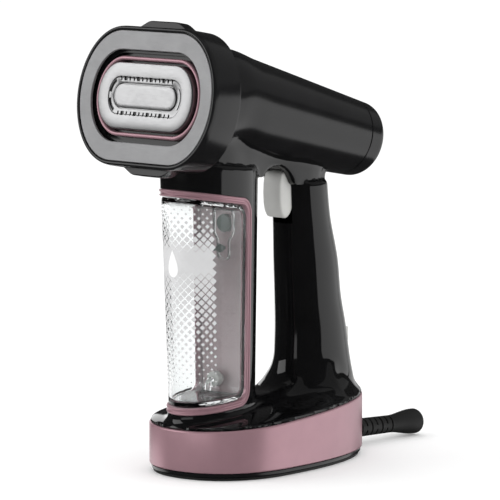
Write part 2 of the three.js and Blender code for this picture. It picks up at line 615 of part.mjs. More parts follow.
// Mains side: strain relief, clamp, terminal block, leads and control board.
function makeElectrics() {
  const steps = 14;
  const pitch = GUARD_LENGTH / steps;
  const radiusAt = (s) => {
    const groove = s % 2 === 1 && s > 4 && s < 12 ? 0.9 : 0;
    if (s <= 1) return GUARD_RADIUS;
    if (s >= 13) return GUARD_FLARE;
    return GUARD_RADIUS - 0.03 * s - groove + (s === 12 ? 0.5 : 0);
  };
  const ringAt = (y, r) => Array.from({ length: 20 }, (_, i) => {
    const angle = angleOf(i, 20);
    const axis = GUARD_Z - GUARD_DROOP * (y - GUARD_START_Y);
    return new THREE.Vector3(r * Math.cos(angle), y, axis + r * Math.sin(angle));
  });
  const outline = Array.from({ length: steps + 1 }, (_, s) => ringAt(GUARD_START_Y + s * pitch, radiusAt(s)));
  const bore = loft([
    ringAt(GUARD_START_Y - 8, GUARD_BORE), ringAt(GUARD_START_Y + GUARD_LENGTH + 4, GUARD_BORE),
  ]);
  place('cord_guard', cut(loft(outline), bore), rubber());
  const clampHole = bar('y', 3.6, 60, 80, [0, 10.6], 14);
  place('cord_clamp', cut(block([-10, 66, 5.6], [10, 74, 17]), clampHole), satinBlack());
  place('terminal_block', block([-13, 42, 5.2], [13, 54, 17]), plastic(0xdedbd0, 0.6));
  const leads = tube([
    [0, 58, 18], [0, 58, 40], [0, 58, 70], [0, 60, 110], [0, 56.5, 150], [0, 54, 168],
    [0, 46.5, 188], [0, 45, 206],
  ], 2.6, 30, 8);
  place('power_leads', leads, plastic(0x3a3a3c, 0.7));
  const boardY = 62;
  const turn = [-barrelPitch, 0, 0];
  const board = shaped(new THREE.BoxGeometry(38, 36, 1.6), { at: [0, boardY, axisZ(boardY) - 4], turn });
  place('control_board', board, plastic(0x1f5b3a, 0.6));
  const relay = shaped(new THREE.BoxGeometry(16, 13, 12), { at: [6, boardY, axisZ(boardY) + 3.2], turn });
  place('board_relay', relay, plastic(0x2b2c30, 0.5));
}

// Screws that hold the bottom cover, reached through the pad.
function makeScrews() {
  for (const [i, [x, y]] of [[-30, -38], [30, -38], [-22, 40], [22, 40]].entries()) {
    place(`foot_screw_${i + 1}`, bar('z', 1.6, 5.2, 20, [x, y], 10), steel());
  }
}

makeFoot();
makeColumn();
makeBridge();
makeGrip();
makeBarrel();
makeCover();
makeHeadCore();
makeGenerator();
makePump();
makeTank();
makeTrigger();
makeTriggerSpring();
makeControls();
makeElectrics();
makeScrews();

export default steamer;
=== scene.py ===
import math
import bmesh
import bpy
import numpy as np
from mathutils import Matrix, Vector


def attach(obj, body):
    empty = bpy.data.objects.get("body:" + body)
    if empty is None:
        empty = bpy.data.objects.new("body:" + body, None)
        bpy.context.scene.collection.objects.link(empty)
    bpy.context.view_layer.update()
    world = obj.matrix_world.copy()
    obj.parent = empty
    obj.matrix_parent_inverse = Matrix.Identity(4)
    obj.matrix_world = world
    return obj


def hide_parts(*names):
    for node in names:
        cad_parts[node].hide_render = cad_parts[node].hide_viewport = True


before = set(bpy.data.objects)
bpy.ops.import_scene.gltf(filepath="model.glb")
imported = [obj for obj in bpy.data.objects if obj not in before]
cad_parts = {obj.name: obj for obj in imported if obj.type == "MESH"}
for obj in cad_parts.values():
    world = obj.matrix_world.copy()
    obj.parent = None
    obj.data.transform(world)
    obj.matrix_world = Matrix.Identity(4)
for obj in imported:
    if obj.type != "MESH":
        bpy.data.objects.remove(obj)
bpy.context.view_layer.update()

MM = 0.001


def added(name, data):
    """A new object in the scene that holds a mesh, a lamp or the camera."""
    obj = bpy.data.objects.new(name, data)
    bpy.context.scene.collection.objects.link(obj)
    return obj


# ---------- camera
VIEW_AZIMUTH = math.radians(43.0)
VIEW_ELEVATION = math.radians(6.85)
VIEW_DISTANCE = 2.588
VIEW_TARGET = Vector((0.0, -0.00626, 0.14029))
LENS_LENGTH = 288.0
SENSOR_WIDTH = 36.0


def make_camera():
    data = bpy.data.cameras.new("camera")
    data.lens = LENS_LENGTH
    data.sensor_width = SENSOR_WIDTH
    camera = added("camera", data)
    level = math.cos(VIEW_ELEVATION)
    across, forward = math.sin(VIEW_AZIMUTH) * level, -math.cos(VIEW_AZIMUTH) * level
    back = Vector((across, forward, math.sin(VIEW_ELEVATION)))
    camera.location = VIEW_TARGET + back * VIEW_DISTANCE
    camera.rotation_euler = (math.pi / 2 - VIEW_ELEVATION, 0.0, VIEW_AZIMUTH)
    bpy.context.scene.camera = camera


make_camera()

# ---------- driving dimensions
FOOT_HALF_WIDTH = 48.8
FOOT_FRONT = 56.2
FOOT_REAR = 110.4
FOOT_WIDEST_Y = -22.4
FOOT_POWER = 2.2
RIM_Z = 36.0
RIM_SLOPE = 0.06
BAND_BOTTOM = 4.9
WALL = 2.4

HEAD_PITCH = math.radians(9.85)
HEAD_Y = -103.0
HEAD_Z = 245.2
HEAD_W = 60.4
HEAD_H = 44.5
HEAD_STRAIGHT = 25.0
COVER_DEPTH = 24.0
COVER_BORDER = 2.9

BARREL_SLOPE = 0.247
BARREL_PITCH = math.atan(BARREL_SLOPE)
BARREL_WAIST_Y = -18.0
BARREL_WAIST_Z = 233.9
BARREL_REAR_Y = 99.0
BARREL_FRONT_Y = -78.8
BARREL_SEAM_Y = 84.0
CAP_EDGE = 5.0

BAY_REAR_Y = -29.4
BAY_TOP_Z = 185.3
BAY_TOP_SLOPE = -0.16
BAY_BOTTOM_Z = 39.7
BAY_BOTTOM_SLOPE = 0.1
BAY_NOSE_Y = -80.0
BAY_CORNER = 11.5
TRIM_WIDTH = 4.6

ARCH_Y = 4.0
ARCH_Z = 176.5
ARCH_R = 18.2

TRIGGER_PIVOT_Y = 34.0
TRIGGER_PIVOT_Z = 187.0
CONTROL_Z = 71.0
GUARD_Y = 87.2
GUARD_LENGTH = 72.0
GUARD_Z = 11.5
GUARD_DROOP = 0.036

# Stations of the upright sections: height, half width, half length, middle of the length.
COLUMN = np.array([
    (30, 22.6, 32.2, -42.5), (61, 23.0, 32.6, -42.7), (125, 24.1, 34.3, -43.6),
    (187, 25.2, 36.0, -44.6), (220, 25.8, 36.8, -45.0),
])
GRIP = np.array([
    (30, 27.0, 30.5, 55.6), (37, 25.0, 31.0, 55.4), (47, 23.0, 30.6, 55.0), (62, 21.3, 28.8, 53.6),
    (86, 20.0, 26.2, 51.8), (105, 19.0, 24.4, 49.3), (130, 18.4, 23.4, 47.1), (160, 17.0, 20.2, 42.9),
    (215, 15.6, 19.6, 39.4),
])
SECTION_POWER = 2.1


# ---------- curves and outlines
def signed_power(value, power):
    return np.sign(value) * np.abs(value) ** power


def smooth_steps(x, xs, ys):
    """Monotone cubic through the stations, held level past both ends."""
    xs, ys = np.asarray(xs, float), np.asarray(ys, float)
    width = np.diff(xs)
    slope = np.diff(ys) / width
    tangent = np.concatenate([slope[:1], (slope[1:] + slope[:-1]) / 2, slope[-1:]])
    tangent[1:-1][slope[1:] * slope[:-1] <= 0] = 0.0
    x = np.clip(x, xs[0], xs[-1])
    i = np.clip(np.searchsorted(xs, x) - 1, 0, len(xs) - 2)
    h = width[i]
    t = (x - xs[i]) / h
    left = (1 + 2 * t) * (1 - t) ** 2 * ys[i] + t * (1 - t) ** 2 * h * tangent[i]
    right = t * t * (3 - 2 * t) * ys[i + 1] + t * t * (t - 1) * h * tangent[i + 1]
    return left + right


def section(stations, z):
    """Half width, half length and middle of an upright section at height z."""
    return [smooth_steps(z, stations[:, 0], stations[:, k]) for k in (1, 2, 3)]


def full_turn(count):
    return np.arange(count) * 2 * math.pi / count


def ring_y(centre, radius, count):
    """A circle in a plane of constant y, round its centre."""
    x, y, z = centre
    angle = full_turn(count)
    return np.stack([x + radius * np.cos(angle), np.full(count, y), z + radius * np.sin(angle)], axis=-1)


def rim_z(y):
    return RIM_Z + RIM_SLOPE * y


def foot_ring(inset, height, count=128):
    angle = full_turn(count)
    reach = np.where(np.sin(angle) > 0, FOOT_REAR, FOOT_FRONT)
    x = (FOOT_HALF_WIDTH - inset) * signed_power(np.cos(angle), 2 / FOOT_POWER)
    y = FOOT_WIDEST_Y + (reach - inset) * signed_power(np.sin(angle), 2 / FOOT_POWER)
    z = height(y) if callable(height) else np.full_like(y, height)
    return np.stack([x, y, z], axis=-1)


def racetrack(half_width, half_height, straight, count=96):
    """Points of an outline with straight long sides and elliptical ends, as (across, up)."""
    ends = []
    for side, start in ((1, -90), (-1, 90)):
        angle = np.radians(start + np.linspace(0, 180, count // 2))
        across = side * straight + (half_width - straight) * np.cos(angle)
        ends.append(np.stack([across, half_height * np.sin(angle)], axis=-1))
    return np.concatenate(ends)


def on_head(flat, depth):
    """Points of a flat outline at a depth behind the front face of the head."""
    across, up = flat[..., 0], flat[..., 1]
    y = HEAD_Y + depth * math.cos(HEAD_PITCH) + up * math.sin(HEAD_PITCH)
    z = HEAD_Z - depth * math.sin(HEAD_PITCH) + up * math.cos(HEAD_PITCH)
    return np.stack([across, y, z], axis=-1)


def rounded(profile, radius, steps=4, closed=True):
    """A profile with each of its corners turned into an arc of short chords."""
    points = [np.array(p, float) for p in profile]
    count = len(points)
    out = []
    for i, here in enumerate(points):
        if not closed and i in (0, count - 1):
            out.append(here)
            continue
        before, after = points[i - 1] - here, points[(i + 1) % count] - here
        size_a, size_b = np.linalg.norm(before), np.linalg.norm(after)
        reach = min(radius, 0.45 * size_a, 0.45 * size_b)
        start, end = here + before / size_a * reach, here + after / size_b * reach
        for k in range(steps + 1):
            t = k / steps
            out.append((1 - t) ** 2 * start + 2 * t * (1 - t) * here + t * t * end)
    return out


# ---------- meshes
def loft(rings, closed=False):
    """Faces through equal rings; a closed loft joins its last ring to its first one."""
    count = len(rings[0])
    points = [p for ring in rings for p in ring]
    faces = []
    pairs = len(rings) if closed else len(rings) - 1
    for k in range(pairs):
        a = k * count
        b = ((k + 1) % len(rings)) * count
        for i in range(count):
            j = (i + 1) % count
            faces.append((a + i, a + j, b + j, b + i))
    if not closed:
        for ring, turn in ((0, -1), (len(rings) - 1, 1)):
            centre = len(points)
            points.append(np.mean(rings[ring], axis=0))
            for i in range(count):
                pair = (ring * count + i, ring * count + (i + 1) % count)
                faces.append((centre, *pair[::turn]))
    return np.array(points), faces


def to_mesh(name, points, faces, outward=True):
    mesh = bpy.data.meshes.new(name)
    mesh.from_pydata((np.asarray(points) * MM).tolist(), [], [tuple(map(int, f)) for f in faces])
    if outward:
        work = bmesh.new()
        work.from_mesh(mesh)
        bmesh.ops.remove_doubles(work, verts=work.verts, dist=1e-7)
        bmesh.ops.recalc_face_normals(work, faces=work.faces)
        if work.calc_volume(signed=True) < 0:
            bmesh.ops.reverse_faces(work, faces=work.faces)
        work.to_mesh(mesh)
        work.free()
    return mesh


def build(name, shape, body, look, stands_for=(), crease=38, outward=True):
    """One piece from (points, faces), riding on a body and standing for its CAD nodes."""
    mesh = shape if isinstance(shape, bpy.types.Mesh) else to_mesh(name, *shape, outward)
    obj = added(name, mesh)
    mesh.polygons.foreach_set("use_smooth", [True] * len(mesh.polygons))
    mesh.set_sharp_from_angle(angle=math.radians(crease))
    mesh.materials.clear()
    mesh.materials.append(LOOKS[look])
    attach(obj, body)
    if stands_for:
        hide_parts(*stands_for)
    return obj


def combined(*shapes):
    """Several (points, faces) as one."""
    points, faces, start = [], [], 0
    for some_points, some_faces in shapes:
        points.append(np.asarray(some_points))
        faces += [tuple(start + i for i in face) for face in some_faces]
        start += len(some_points)
    return np.concatenate(points), faces


def block(low, high, edge=0.0, steps=2):
    """A box between two corners, with rounded edges if edge is above zero."""
    work = bmesh.new()
    bmesh.ops.create_cube(work, size=1.0)
    low, high = Vector(low), Vector(high)
    size, middle = high - low, (high + low) / 2
    for vert in work.verts:
        vert.co = Vector(c * s + m for c, s, m in zip(vert.co, size, middle))
    if edge > 0:
        bmesh.ops.bevel(work, geom=work.edges[:], offset=edge, segments=steps, affect="EDGES", profile=0.5)
    work.verts.index_update()
    shape = (np.array([v.co[:] for v in work.verts]), [[v.index for v in f.verts] for f in work.faces])
    work.free()
    return shape


def rod(start, end, radius, sides=24, edge=0.0):
    """A round bar between two points, with its rims rounded by an edge radius."""
    start, end = np.array(start, float), np.array(end, float)
    along = (end - start) / np.linalg.norm(end - start)
    side = np.cross(along, (0.0, 0.0, 1.0) if abs(along[2]) < 0.9 else (1.0, 0.0, 0.0))
    side /= np.linalg.norm(side)
    other = np.cross(along, side)
    angle = full_turn(sides)
    unit = np.outer(np.cos(angle), side) + np.outer(np.sin(angle), other)
    stops = [(0.0, radius)]
    if edge > 0:
        turns = [math.radians(a) for a in (0, 30, 60, 90)]
        stops = [(edge * (1 - math.cos(a)), radius - edge * (1 - math.sin(a))) for a in turns]
    length = np.linalg.norm(end - start)
    stops += [(length - s, r) for s, r in reversed(stops)]
    return loft([start + along * s + unit * r for s, r in stops])


def prism_x(outline, from_x, to_x):
    """A slab standing in the side view: a (y, z) outline between two x values."""
    count = len(outline)
    points = [(x, y, z) for x in (from_x, to_x) for y, z in outline]
    faces = [(i, (i + 1) % count, count + (i + 1) % count, count + i) for i in range(count)]
    faces += [tuple(range(count))[::-1], tuple(range(count, 2 * count))]
    return np.array(points, float), faces


def boolean(shape_or_mesh, cutter, kind="DIFFERENCE"):
    """The mesh left when a cutter is taken away from, or met with, a mesh."""
    meshes = [s if isinstance(s, bpy.types.Mesh) else to_mesh("part", *s) for s in (shape_or_mesh, cutter)]
    objects = [added("work", mesh) for mesh in meshes]
    change = objects[0].modifiers.new("cut", "BOOLEAN")
    change.operation = kind
    change.solver = "EXACT"
    change.object = objects[1]
    graph = bpy.context.evaluated_depsgraph_get()
    result = bpy.data.meshes.new_from_object(objects[0].evaluated_get(graph))
    for obj in objects:
        bpy.data.objects.remove(obj)
    return result


# ---------- implicit forms
def smooth_min(a, b, reach):
    h = np.clip(0.5 + 0.5 * (b - a) / reach, 0, 1)
    return b * (1 - h) + a * h - reach * h * (1 - h)


def smooth_max(a, b, reach):
    return -smooth_min(-a, -b, reach)


def radial_field(across, along, half_a, half_b, power=SECTION_POWER):
    q = (np.abs(across / half_a) ** power + np.abs(along / half_b) ** power) ** (1 / power)
    r = np.hypot(across, along)
    return r - r / np.maximum(q, 1e-6)


def upright_field(p, stations, offset=0.0):
    half_a, half_b, middle = section(stations, p[:, 2])
    return radial_field(p[:, 0], p[:, 1] - middle, half_a + offset, half_b + offset)


def surface_net(field, low, high, step):
    """A quad mesh on the zero surface of a field, sampled on a grid and drawn onto the surface."""
    ticks = [np.arange(a, b + step, step) for a, b in zip(low, high)]
    grid = np.stack(np.meshgrid(*ticks, indexing="ij"), axis=-1)
    value = field(grid.reshape(-1, 3)).reshape(grid.shape[:3])
    inside = value < 0
    cells = tuple(n - 1 for n in value.shape)
    total, hits = np.zeros(cells + (3,)), np.zeros(cells)
    for axis in range(3):
        others = [k for k in range(3) if k != axis]
        for a in (0, 1):
            for b in (0, 1):
                start, end = [slice(0, -1)] * 3, [slice(0, -1)] * 3
                end[axis] = slice(1, None)
                for k, offset in zip(others, (a, b)):
                    start[k] = end[k] = slice(offset, offset - 1 or None)
                start, end = tuple(start), tuple(end)
                cross = inside[start] != inside[end]
                va, vb = value[start][cross], value[end][cross]
                total[cross] += grid[start][cross] + (va / (va - vb))[:, None] * (
                    grid[end][cross] - grid[start][cross])
                hits += cross
    active = hits > 0
    number = np.full(cells, -1)
    number[active] = np.arange(active.sum())
    points = total[active] / hits[active][:, None]
    faces = []
    for axis in range(3):
        b, c = (axis + 1) % 3, (axis + 2) % 3
        start, end = [slice(1, -1)] * 3, [slice(1, -1)] * 3
        start[axis], end[axis] = slice(0, -1), slice(1, None)
        cross = inside[tuple(start)] != inside[tuple(end)]
        out = inside[tuple(start)][cross]
        corners = []
        for ob, oc in ((0, 0), (1, 0), (1, 1), (0, 1)):
            pick = [slice(None)] * 3
            pick[b] = slice(ob, ob - 1 or None)
            pick[c] = slice(oc, oc - 1 or None)
            corners.append(number[tuple(pick)][cross])
        quad = np.stack(corners, axis=-1)
        quad[~out] = quad[~out][:, ::-1]
        faces.append(quad)
    for _ in range(5):
        here = field(points)
        slope = np.stack([(field(points + d) - field(points - d)) / 0.1 for d in 0.05 * np.eye(3)], axis=-1)
        move = (here / np.maximum((slope ** 2).sum(1), 0.05))[:, None] * slope
        size = np.linalg.norm(move, axis=1, keepdims=True)
        points = points - move * np.minimum(1, 0.4 * step / np.maximum(size, 1e-9))
    return points, np.concatenate(faces).tolist()


# ---------- materials
LOOKS = {}


def settle(node, **values):
    """Set a node's sockets by name, with an underscore for each space."""
    for socket, value in values.items():
        node.inputs[socket.replace("_", " ")].default_value = value


def surface_noise(tree, per_mm, stretch=(1, 1, 1), detail=3.0, seed=0.0):
    """Noise in the piece's own space, about per_mm features to the millimetre."""
    where = tree.nodes.new("ShaderNodeTexCoord")
    mapping = tree.nodes.new("ShaderNodeMapping")
    settle(mapping, Scale=[s * per_mm / MM for s in stretch], Location=(seed, seed, seed))
    noise = tree.nodes.new("ShaderNodeTexNoise")
    settle(noise, Scale=1.0, Detail=detail)
    tree.links.new(where.outputs["Object"], mapping.inputs["Vector"])
    tree.links.new(mapping.outputs["Vector"], noise.inputs["Vector"])
    return noise.outputs["Fac"]


def spread(tree, source, low, high):
    change = tree.nodes.new("ShaderNodeMapRange")
    settle(change, From_Min=0.3, From_Max=0.7, To_Min=low, To_Max=high)
    tree.links.new(source, change.inputs["Value"])
    return change.outputs["Result"]


def mottled(tree, source, first, second):
    mix = tree.nodes.new("ShaderNodeMix")
    mix.data_type = "RGBA"
    settle(mix, A=(*first, 1), B=(*second, 1))
    tree.links.new(source, mix.inputs["Factor"])
    return mix.outputs["Result"]


def relief(tree, source, strength, depth_mm):
    bump = tree.nodes.new("ShaderNodeBump")
    settle(bump, Strength=strength, Distance=depth_mm * MM)
    tree.links.new(source, bump.inputs["Height"])
    return bump.outputs["Normal"]


def new_material(name):
    """A material with its node tree and its Principled shader."""
    material = bpy.data.materials.new(name)
    material.use_nodes = True
    return material, material.node_tree, material.node_tree.nodes["Principled BSDF"]


def look(name, colour, roughness, metallic=0.0, tone=0.12, grain=3.0, bump=0.15, depth=0.02,
         stretch=(1, 1, 1), rough_spread=0.15):
    """A moulded, painted or metal finish: mottled colour, uneven roughness and a fine relief."""
    material, tree, shader = new_material(name)
    settle(shader, Metallic=metallic)
    broad = surface_noise(tree, 0.06, detail=4.0)
    fine = surface_noise(tree, grain, stretch, detail=2.0, seed=3.7)
    darker = [c * (1 - tone) for c in colour]
    lighter = [min(1.0, c * (1 + tone)) for c in colour]
    tree.links.new(mottled(tree, spread(tree, broad, 0, 1), darker, lighter), shader.inputs["Base Color"])
    low, high = roughness * (1 - rough_spread), roughness * (1 + rough_spread)
    tree.links.new(spread(tree, fine, low, high), shader.inputs["Roughness"])
    tree.links.new(relief(tree, fine, bump, depth), shader.inputs["Normal"])
    LOOKS[name] = material


def clear_look(name, colour, roughness, ior):
    """Clear moulded plastic: faint flow marks in its roughness and surface."""
    material, tree, shader = new_material(name)
    settle(shader, Transmission_Weight=1.0, IOR=ior)
    flow = surface_noise(tree, 0.08, stretch=(1, 1, 0.35), detail=2.0)
    pale = [min(1.0, c * 1.02) for c in colour]
    tree.links.new(mottled(tree, flow, colour, pale), shader.inputs["Base Color"])
    tree.links.new(spread(tree, flow, roughness * 0.6, roughness * 1.4), shader.inputs["Roughness"])
    tree.links.new(relief(tree, flow, 0.06, 0.05), shader.inputs["Normal"])
    LOOKS[name] = material


def make_looks():
    look("gloss_black", (0.0035, 0.0035, 0.0038), 0.07, tone=0.2, grain=0.12, bump=0.02, depth=0.02,
         rough_spread=0.3)
    look("satin_black", (0.0065, 0.0065, 0.007), 0.19, tone=0.15, grain=5.0, bump=0.12, depth=0.012)
    look("rose_plastic", (0.47, 0.28, 0.32), 0.34, metallic=0.5, tone=0.04, grain=6.0, bump=0.12,
         depth=0.012)
    look("rose_panel", (0.66, 0.46, 0.49), 0.4, tone=0.05, grain=5.0, bump=0.12, depth=0.012)
    look("black_rubber", (0.014, 0.014, 0.014), 0.62, tone=0.2, grain=2.5, bump=0.4, depth=0.04)
    look("seal_grey", (0.10, 0.13, 0.12), 0.5, tone=0.2, grain=2.5, bump=0.3, depth=0.03)
    look("silver_plate", (0.50, 0.50, 0.505), 0.34, metallic=1.0, tone=0.03, grain=3.0, bump=0.08,
         depth=0.01, stretch=(0.08, 1, 1))
    look("grey_face", (0.30, 0.30, 0.305), 0.42, metallic=0.6, tone=0.06, grain=4.0, bump=0.3,
         depth=0.02, stretch=(0.05, 1, 1))
    look("light_grey_plastic", (0.58, 0.58, 0.56), 0.38, tone=0.05, grain=4.0, bump=0.15, depth=0.015)
    look("steel", (0.6, 0.6, 0.61), 0.3, metallic=1.0, tone=0.08, grain=5.0, stretch=(1, 1, 0.1))
    look("cast_aluminium", (0.5, 0.5, 0.51), 0.55, metallic=1.0, tone=0.12, grain=2.0, bump=0.5, depth=0.05)
    look("brass", (0.6, 0.43, 0.17), 0.32, metallic=1.0, tone=0.1, grain=4.0)
    look("inner_plastic", (0.05, 0.052, 0.056), 0.5, tone=0.15, grain=3.0)
    look("board_green", (0.012, 0.13, 0.06), 0.4, tone=0.2, grain=1.2, bump=0.3, depth=0.03)
    look("insulation", (0.6, 0.55, 0.43), 0.95, tone=0.2, grain=1.5, bump=0.9, depth=0.2, stretch=(1, 1, 0.4))
    look("tank_print", (0.62, 0.62, 0.625), 0.6, tone=0.04, grain=8.0, bump=0.1, depth=0.01)
    look("mark_white", (0.92, 0.92, 0.92), 0.5, tone=0.02, grain=8.0, bump=0.1, depth=0.01)
    clear_look("clear_tank", (0.95, 0.965, 0.965), 0.02, 1.46)


make_looks()

CAD_LOOKS = {
    "steel": ["heating_element", "thermostat", "trigger_spring",
              "foot_screw_1", "foot_screw_2", "foot_screw_3", "foot_screw_4"],
    "cast_aluminium": ["steam_generator", "generator_cover"],
    "brass": ["thermal_fuse", "pump_coil"],
    "insulation": ["insulation_wrap"],
    "board_green": ["button_board", "control_board"],
    "black_rubber": ["generator_gasket", "pump_mount_front", "pump_mount_rear"],
    "clear_tank": ["pick_up_tube", "suction_hose", "indicator_lens"],
    "light_grey_plastic": ["tank_valve", "delivery_hose", "terminal_block"],
    "inner_plastic": ["pump_body", "trigger_switch", "switch_plunger", "board_relay", "power_leads",
                      "cord_clamp"],
}


def dress_cad_nodes():
    for name, nodes in CAD_LOOKS.items():
        for node in nodes:
            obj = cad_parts[node]
            if not obj.material_slots:
                obj.data.materials.append(None)
            for place in obj.material_slots:
                place.material = LOOKS[name]


dress_cad_nodes()


# ---------- foot
def swept(profile, ring):
    """A closed loft of one profile of (inset, height) pairs round an outline."""
    return loft([ring(inset, height) for inset, height in profile], closed=True)


PAD_PROFILE = ((2.3, 1.8), (2.6, 0.0), (14.0, 0.0), (14.0, 1.8))
BASE_PROFILE = ((1.9, 2.1), (1.35, 2.3), (1.2, 2.6), (1.15, 4.3), (1.4, 4.6))
GUARD_HOLE_RADIUS = 6.7


def below_rim(drop):
    return lambda y: rim_z(y) - drop


def make_foot():
    pad = rounded(PAD_PROFILE, 0.5)
    build("rubber_pad", swept(pad, foot_ring), "body", "black_rubber", ["anti_slip_pad"])
    rings = [foot_ring(inset, z) for inset, z in BASE_PROFILE]
    build("foot_base", loft(rings), "body", "satin_black", ["bottom_cover"])
    rim = [
        (0.9, BAND_BOTTOM), (0.45, BAND_BOTTOM + 0.15), (0.12, BAND_BOTTOM + 0.5), (0.0, BAND_BOTTOM + 1.1),
        (0.0, below_rim(1.3)), (0.1, below_rim(0.6)), (0.4, below_rim(0.15)), (0.8, rim_z), (1.8, rim_z),
        (WALL, below_rim(0.4)), (WALL, BAND_BOTTOM + 0.5), (WALL - 0.5, BAND_BOTTOM),
    ]
    hole = rod((0, 60, GUARD_Z), (0, 100, GUARD_Z), GUARD_HOLE_RADIUS, sides=40)
    band = boolean(swept(rim, foot_ring), hole)
    build("rose_band", band, "body", "rose_plastic", ["foot_band"])


# ---------- glossy upper body
BARREL = np.array([
    (-79.1, 241.1, 54.0, 40.0, HEAD_PITCH, 2.4), (-74.1, 240.2, 44.0, 38.0, HEAD_PITCH, 2.2),
    (-64.3, 238.5, 36.5, 36.0, HEAD_PITCH, 2.0), (-42.0, 239.8, 33.9, 34.0, BARREL_PITCH, 2.0),
    (BARREL_WAIST_Y, BARREL_WAIST_Z, 32.4, 32.4, BARREL_PITCH, 2.0),
    (BARREL_REAR_Y, 205.0, 24.5, 24.5, BARREL_PITCH, 2.0),
])


def barrel_section(y):
    """Centre height, half width, half height, pitch and squareness of the barrel at y."""
    return [smooth_steps(y, BARREL[:, 0], BARREL[:, k]) for k in (1, 2, 3, 4, 5)]


def barrel_field(p, offset):
    y = p[:, 1]
    for _ in range(2):
        centre, half_a, half_b, pitch, power = barrel_section(y)
        up = (p[:, 2] - centre) / np.cos(pitch)
        y = p[:, 1] - up * np.sin(pitch)
    return radial_field(p[:, 0], up, half_a + offset, half_b + offset, power)


def footprint_field(p):
    """The outline of the foot's top seen from above, half a millimetre inside the band."""
    y = p[:, 1] - FOOT_WIDEST_Y
    reach = np.where(y > 0, FOOT_REAR, FOOT_FRONT)
    return radial_field(p[:, 0], y, FOOT_HALF_WIDTH, reach, FOOT_POWER) + 0.5


def foot_top_field(p):
    """The domed top of the foot: below a surface that rises inwards from the rim."""
    edge = footprint_field(p)
    inset = np.maximum(-edge, 0)
    dome = 0.5 + 1.1 * (1 - np.exp(-inset / 0.6)) + 4.6 * (1 - np.exp(-inset / 13))
    return smooth_max(p[:, 2] - rim_z(p[:, 1]) - dome, edge, 0.8)


COLUMN_RIM = (196.9, -0.108, -21.0)
GRIP_RIM = (183.2, -0.02, 24.0)
CHAMFER = 3.4


def shouldered(p, stations, rim):
    """An upright section that ends in a rounded shoulder under its rim line."""
    top = rim[0] + rim[1] * (p[:, 1] - rim[2])
    lean = 1.5 * np.clip((p[:, 2] - top + CHAMFER) / CHAMFER, 0, 1.2) ** 2
    return smooth_max(upright_field(p, stations) + lean, p[:, 2] - top, 1.0)


FOOTPRINT_TOP_Z = 70

# The neck under the barrel: half width against y, and its lower limit against y.
YOKE = np.array([
    (-85, 20.0), (-50, 22.0), (-28, 19.0), (3, 14.0), (29, 13.5),
    (42, 12.3), (52, 9.5), (61, 3.0), (63, -4.0),
])
YOKE_LOW_Y = (-80, -21, 24, 62)
YOKE_LOW_Z = (195.0, 191.0, 181.0, 181.0)
COLUMN_MIDDLE_Y = -44.6
LINING_DROP = 6
LINING_END = 78


def yoke_field(p):
    """The boat-shaped neck from column and grip up into the underside of the barrel."""
    y, z = p[:, 1], p[:, 2]
    centre = barrel_section(y)[0]
    half = smooth_steps(y, YOKE[:, 0], YOKE[:, 1])
    flare = 2.5 * np.clip((z - centre + 34) / 14, 0, 1) ** 2
    low = np.interp(y, YOKE_LOW_Y, YOKE_LOW_Z)
    neck = smooth_max(np.abs(p[:, 0]) - half - flare, low - z, 1.5)
    inside_column = np.where(y < COLUMN_MIDDLE_Y, upright_field(p, COLUMN, -2.2), -40.0)
    neck = np.maximum(np.maximum(neck, inside_column), z - centre + LINING_DROP)
    lining = np.maximum(barrel_field(p, -0.7), z - centre + LINING_DROP)
    lining = np.maximum(lining, np.maximum(-LINING_END - y, y - LINING_END))
    arch = np.where(z > ARCH_Z, np.hypot(y - ARCH_Y, z - ARCH_Z), np.abs(y - ARCH_Y)) - ARCH_R
    return smooth_max(smooth_min(neck, lining, 5.0), -arch, 2.4)


def web_field(p):
    """The raised web on the foot, between the column and the grip."""
    y = p[:, 1]
    top = 47.0 + 0.02 * (y - 5)
    side = np.abs(p[:, 0]) - 15
    return smooth_max(smooth_max(p[:, 2] - top, side, 8.0), np.maximum(-20 - y, y - 40), 4.0)


def upper_body_field(p):
    column = shouldered(p, COLUMN, COLUMN_RIM)
    grip = shouldered(p, GRIP, GRIP_RIM)
    foot = foot_top_field(p)
    soft = 22.0 - 15.0 * np.clip((p[:, 1] - 48) / 28, 0, 1)
    low = smooth_min(foot, web_field(p), 9.0)
    low = smooth_min(low, grip, soft)
    low = smooth_min(low, column, 5.0)
    low = np.where(p[:, 2] < FOOTPRINT_TOP_Z, np.maximum(low, footprint_field(p)), low)
    whole = smooth_min(low, yoke_field(p), 1.2)
    return np.maximum(whole, rim_z(p[:, 1]) + 0.35 - p[:, 2])


def bay_top(y, inset=0.0):
    return BAY_TOP_Z + BAY_TOP_SLOPE * (y - BAY_NOSE_Y) - inset


def bay_bottom(y, inset=0.0):
    return BAY_BOTTOM_Z + BAY_BOTTOM_SLOPE * (y - BAY_NOSE_Y) + inset


def bay_outline(inset, corner, nose=-112.0, steps=8):
    """Side view of the tank bay as (y, z), drawn in by an inset, with two rounded rear corners."""
    rear = BAY_REAR_Y - inset

    def arc(z, start):
        turn = [math.radians(start + 90 * i / steps) for i in range(steps + 1)]
        return [(rear - corner + corner * math.cos(a), z + corner * math.sin(a)) for a in turn]

    inner = rear - corner
    low, high = bay_bottom(inner, inset) + corner, bay_top(inner, inset) - corner
    return [(nose, bay_bottom(nose, inset)), *arc(low, -90), *arc(high, 0), (nose, bay_top(nose, inset))]


BODY_STEP = 1.25


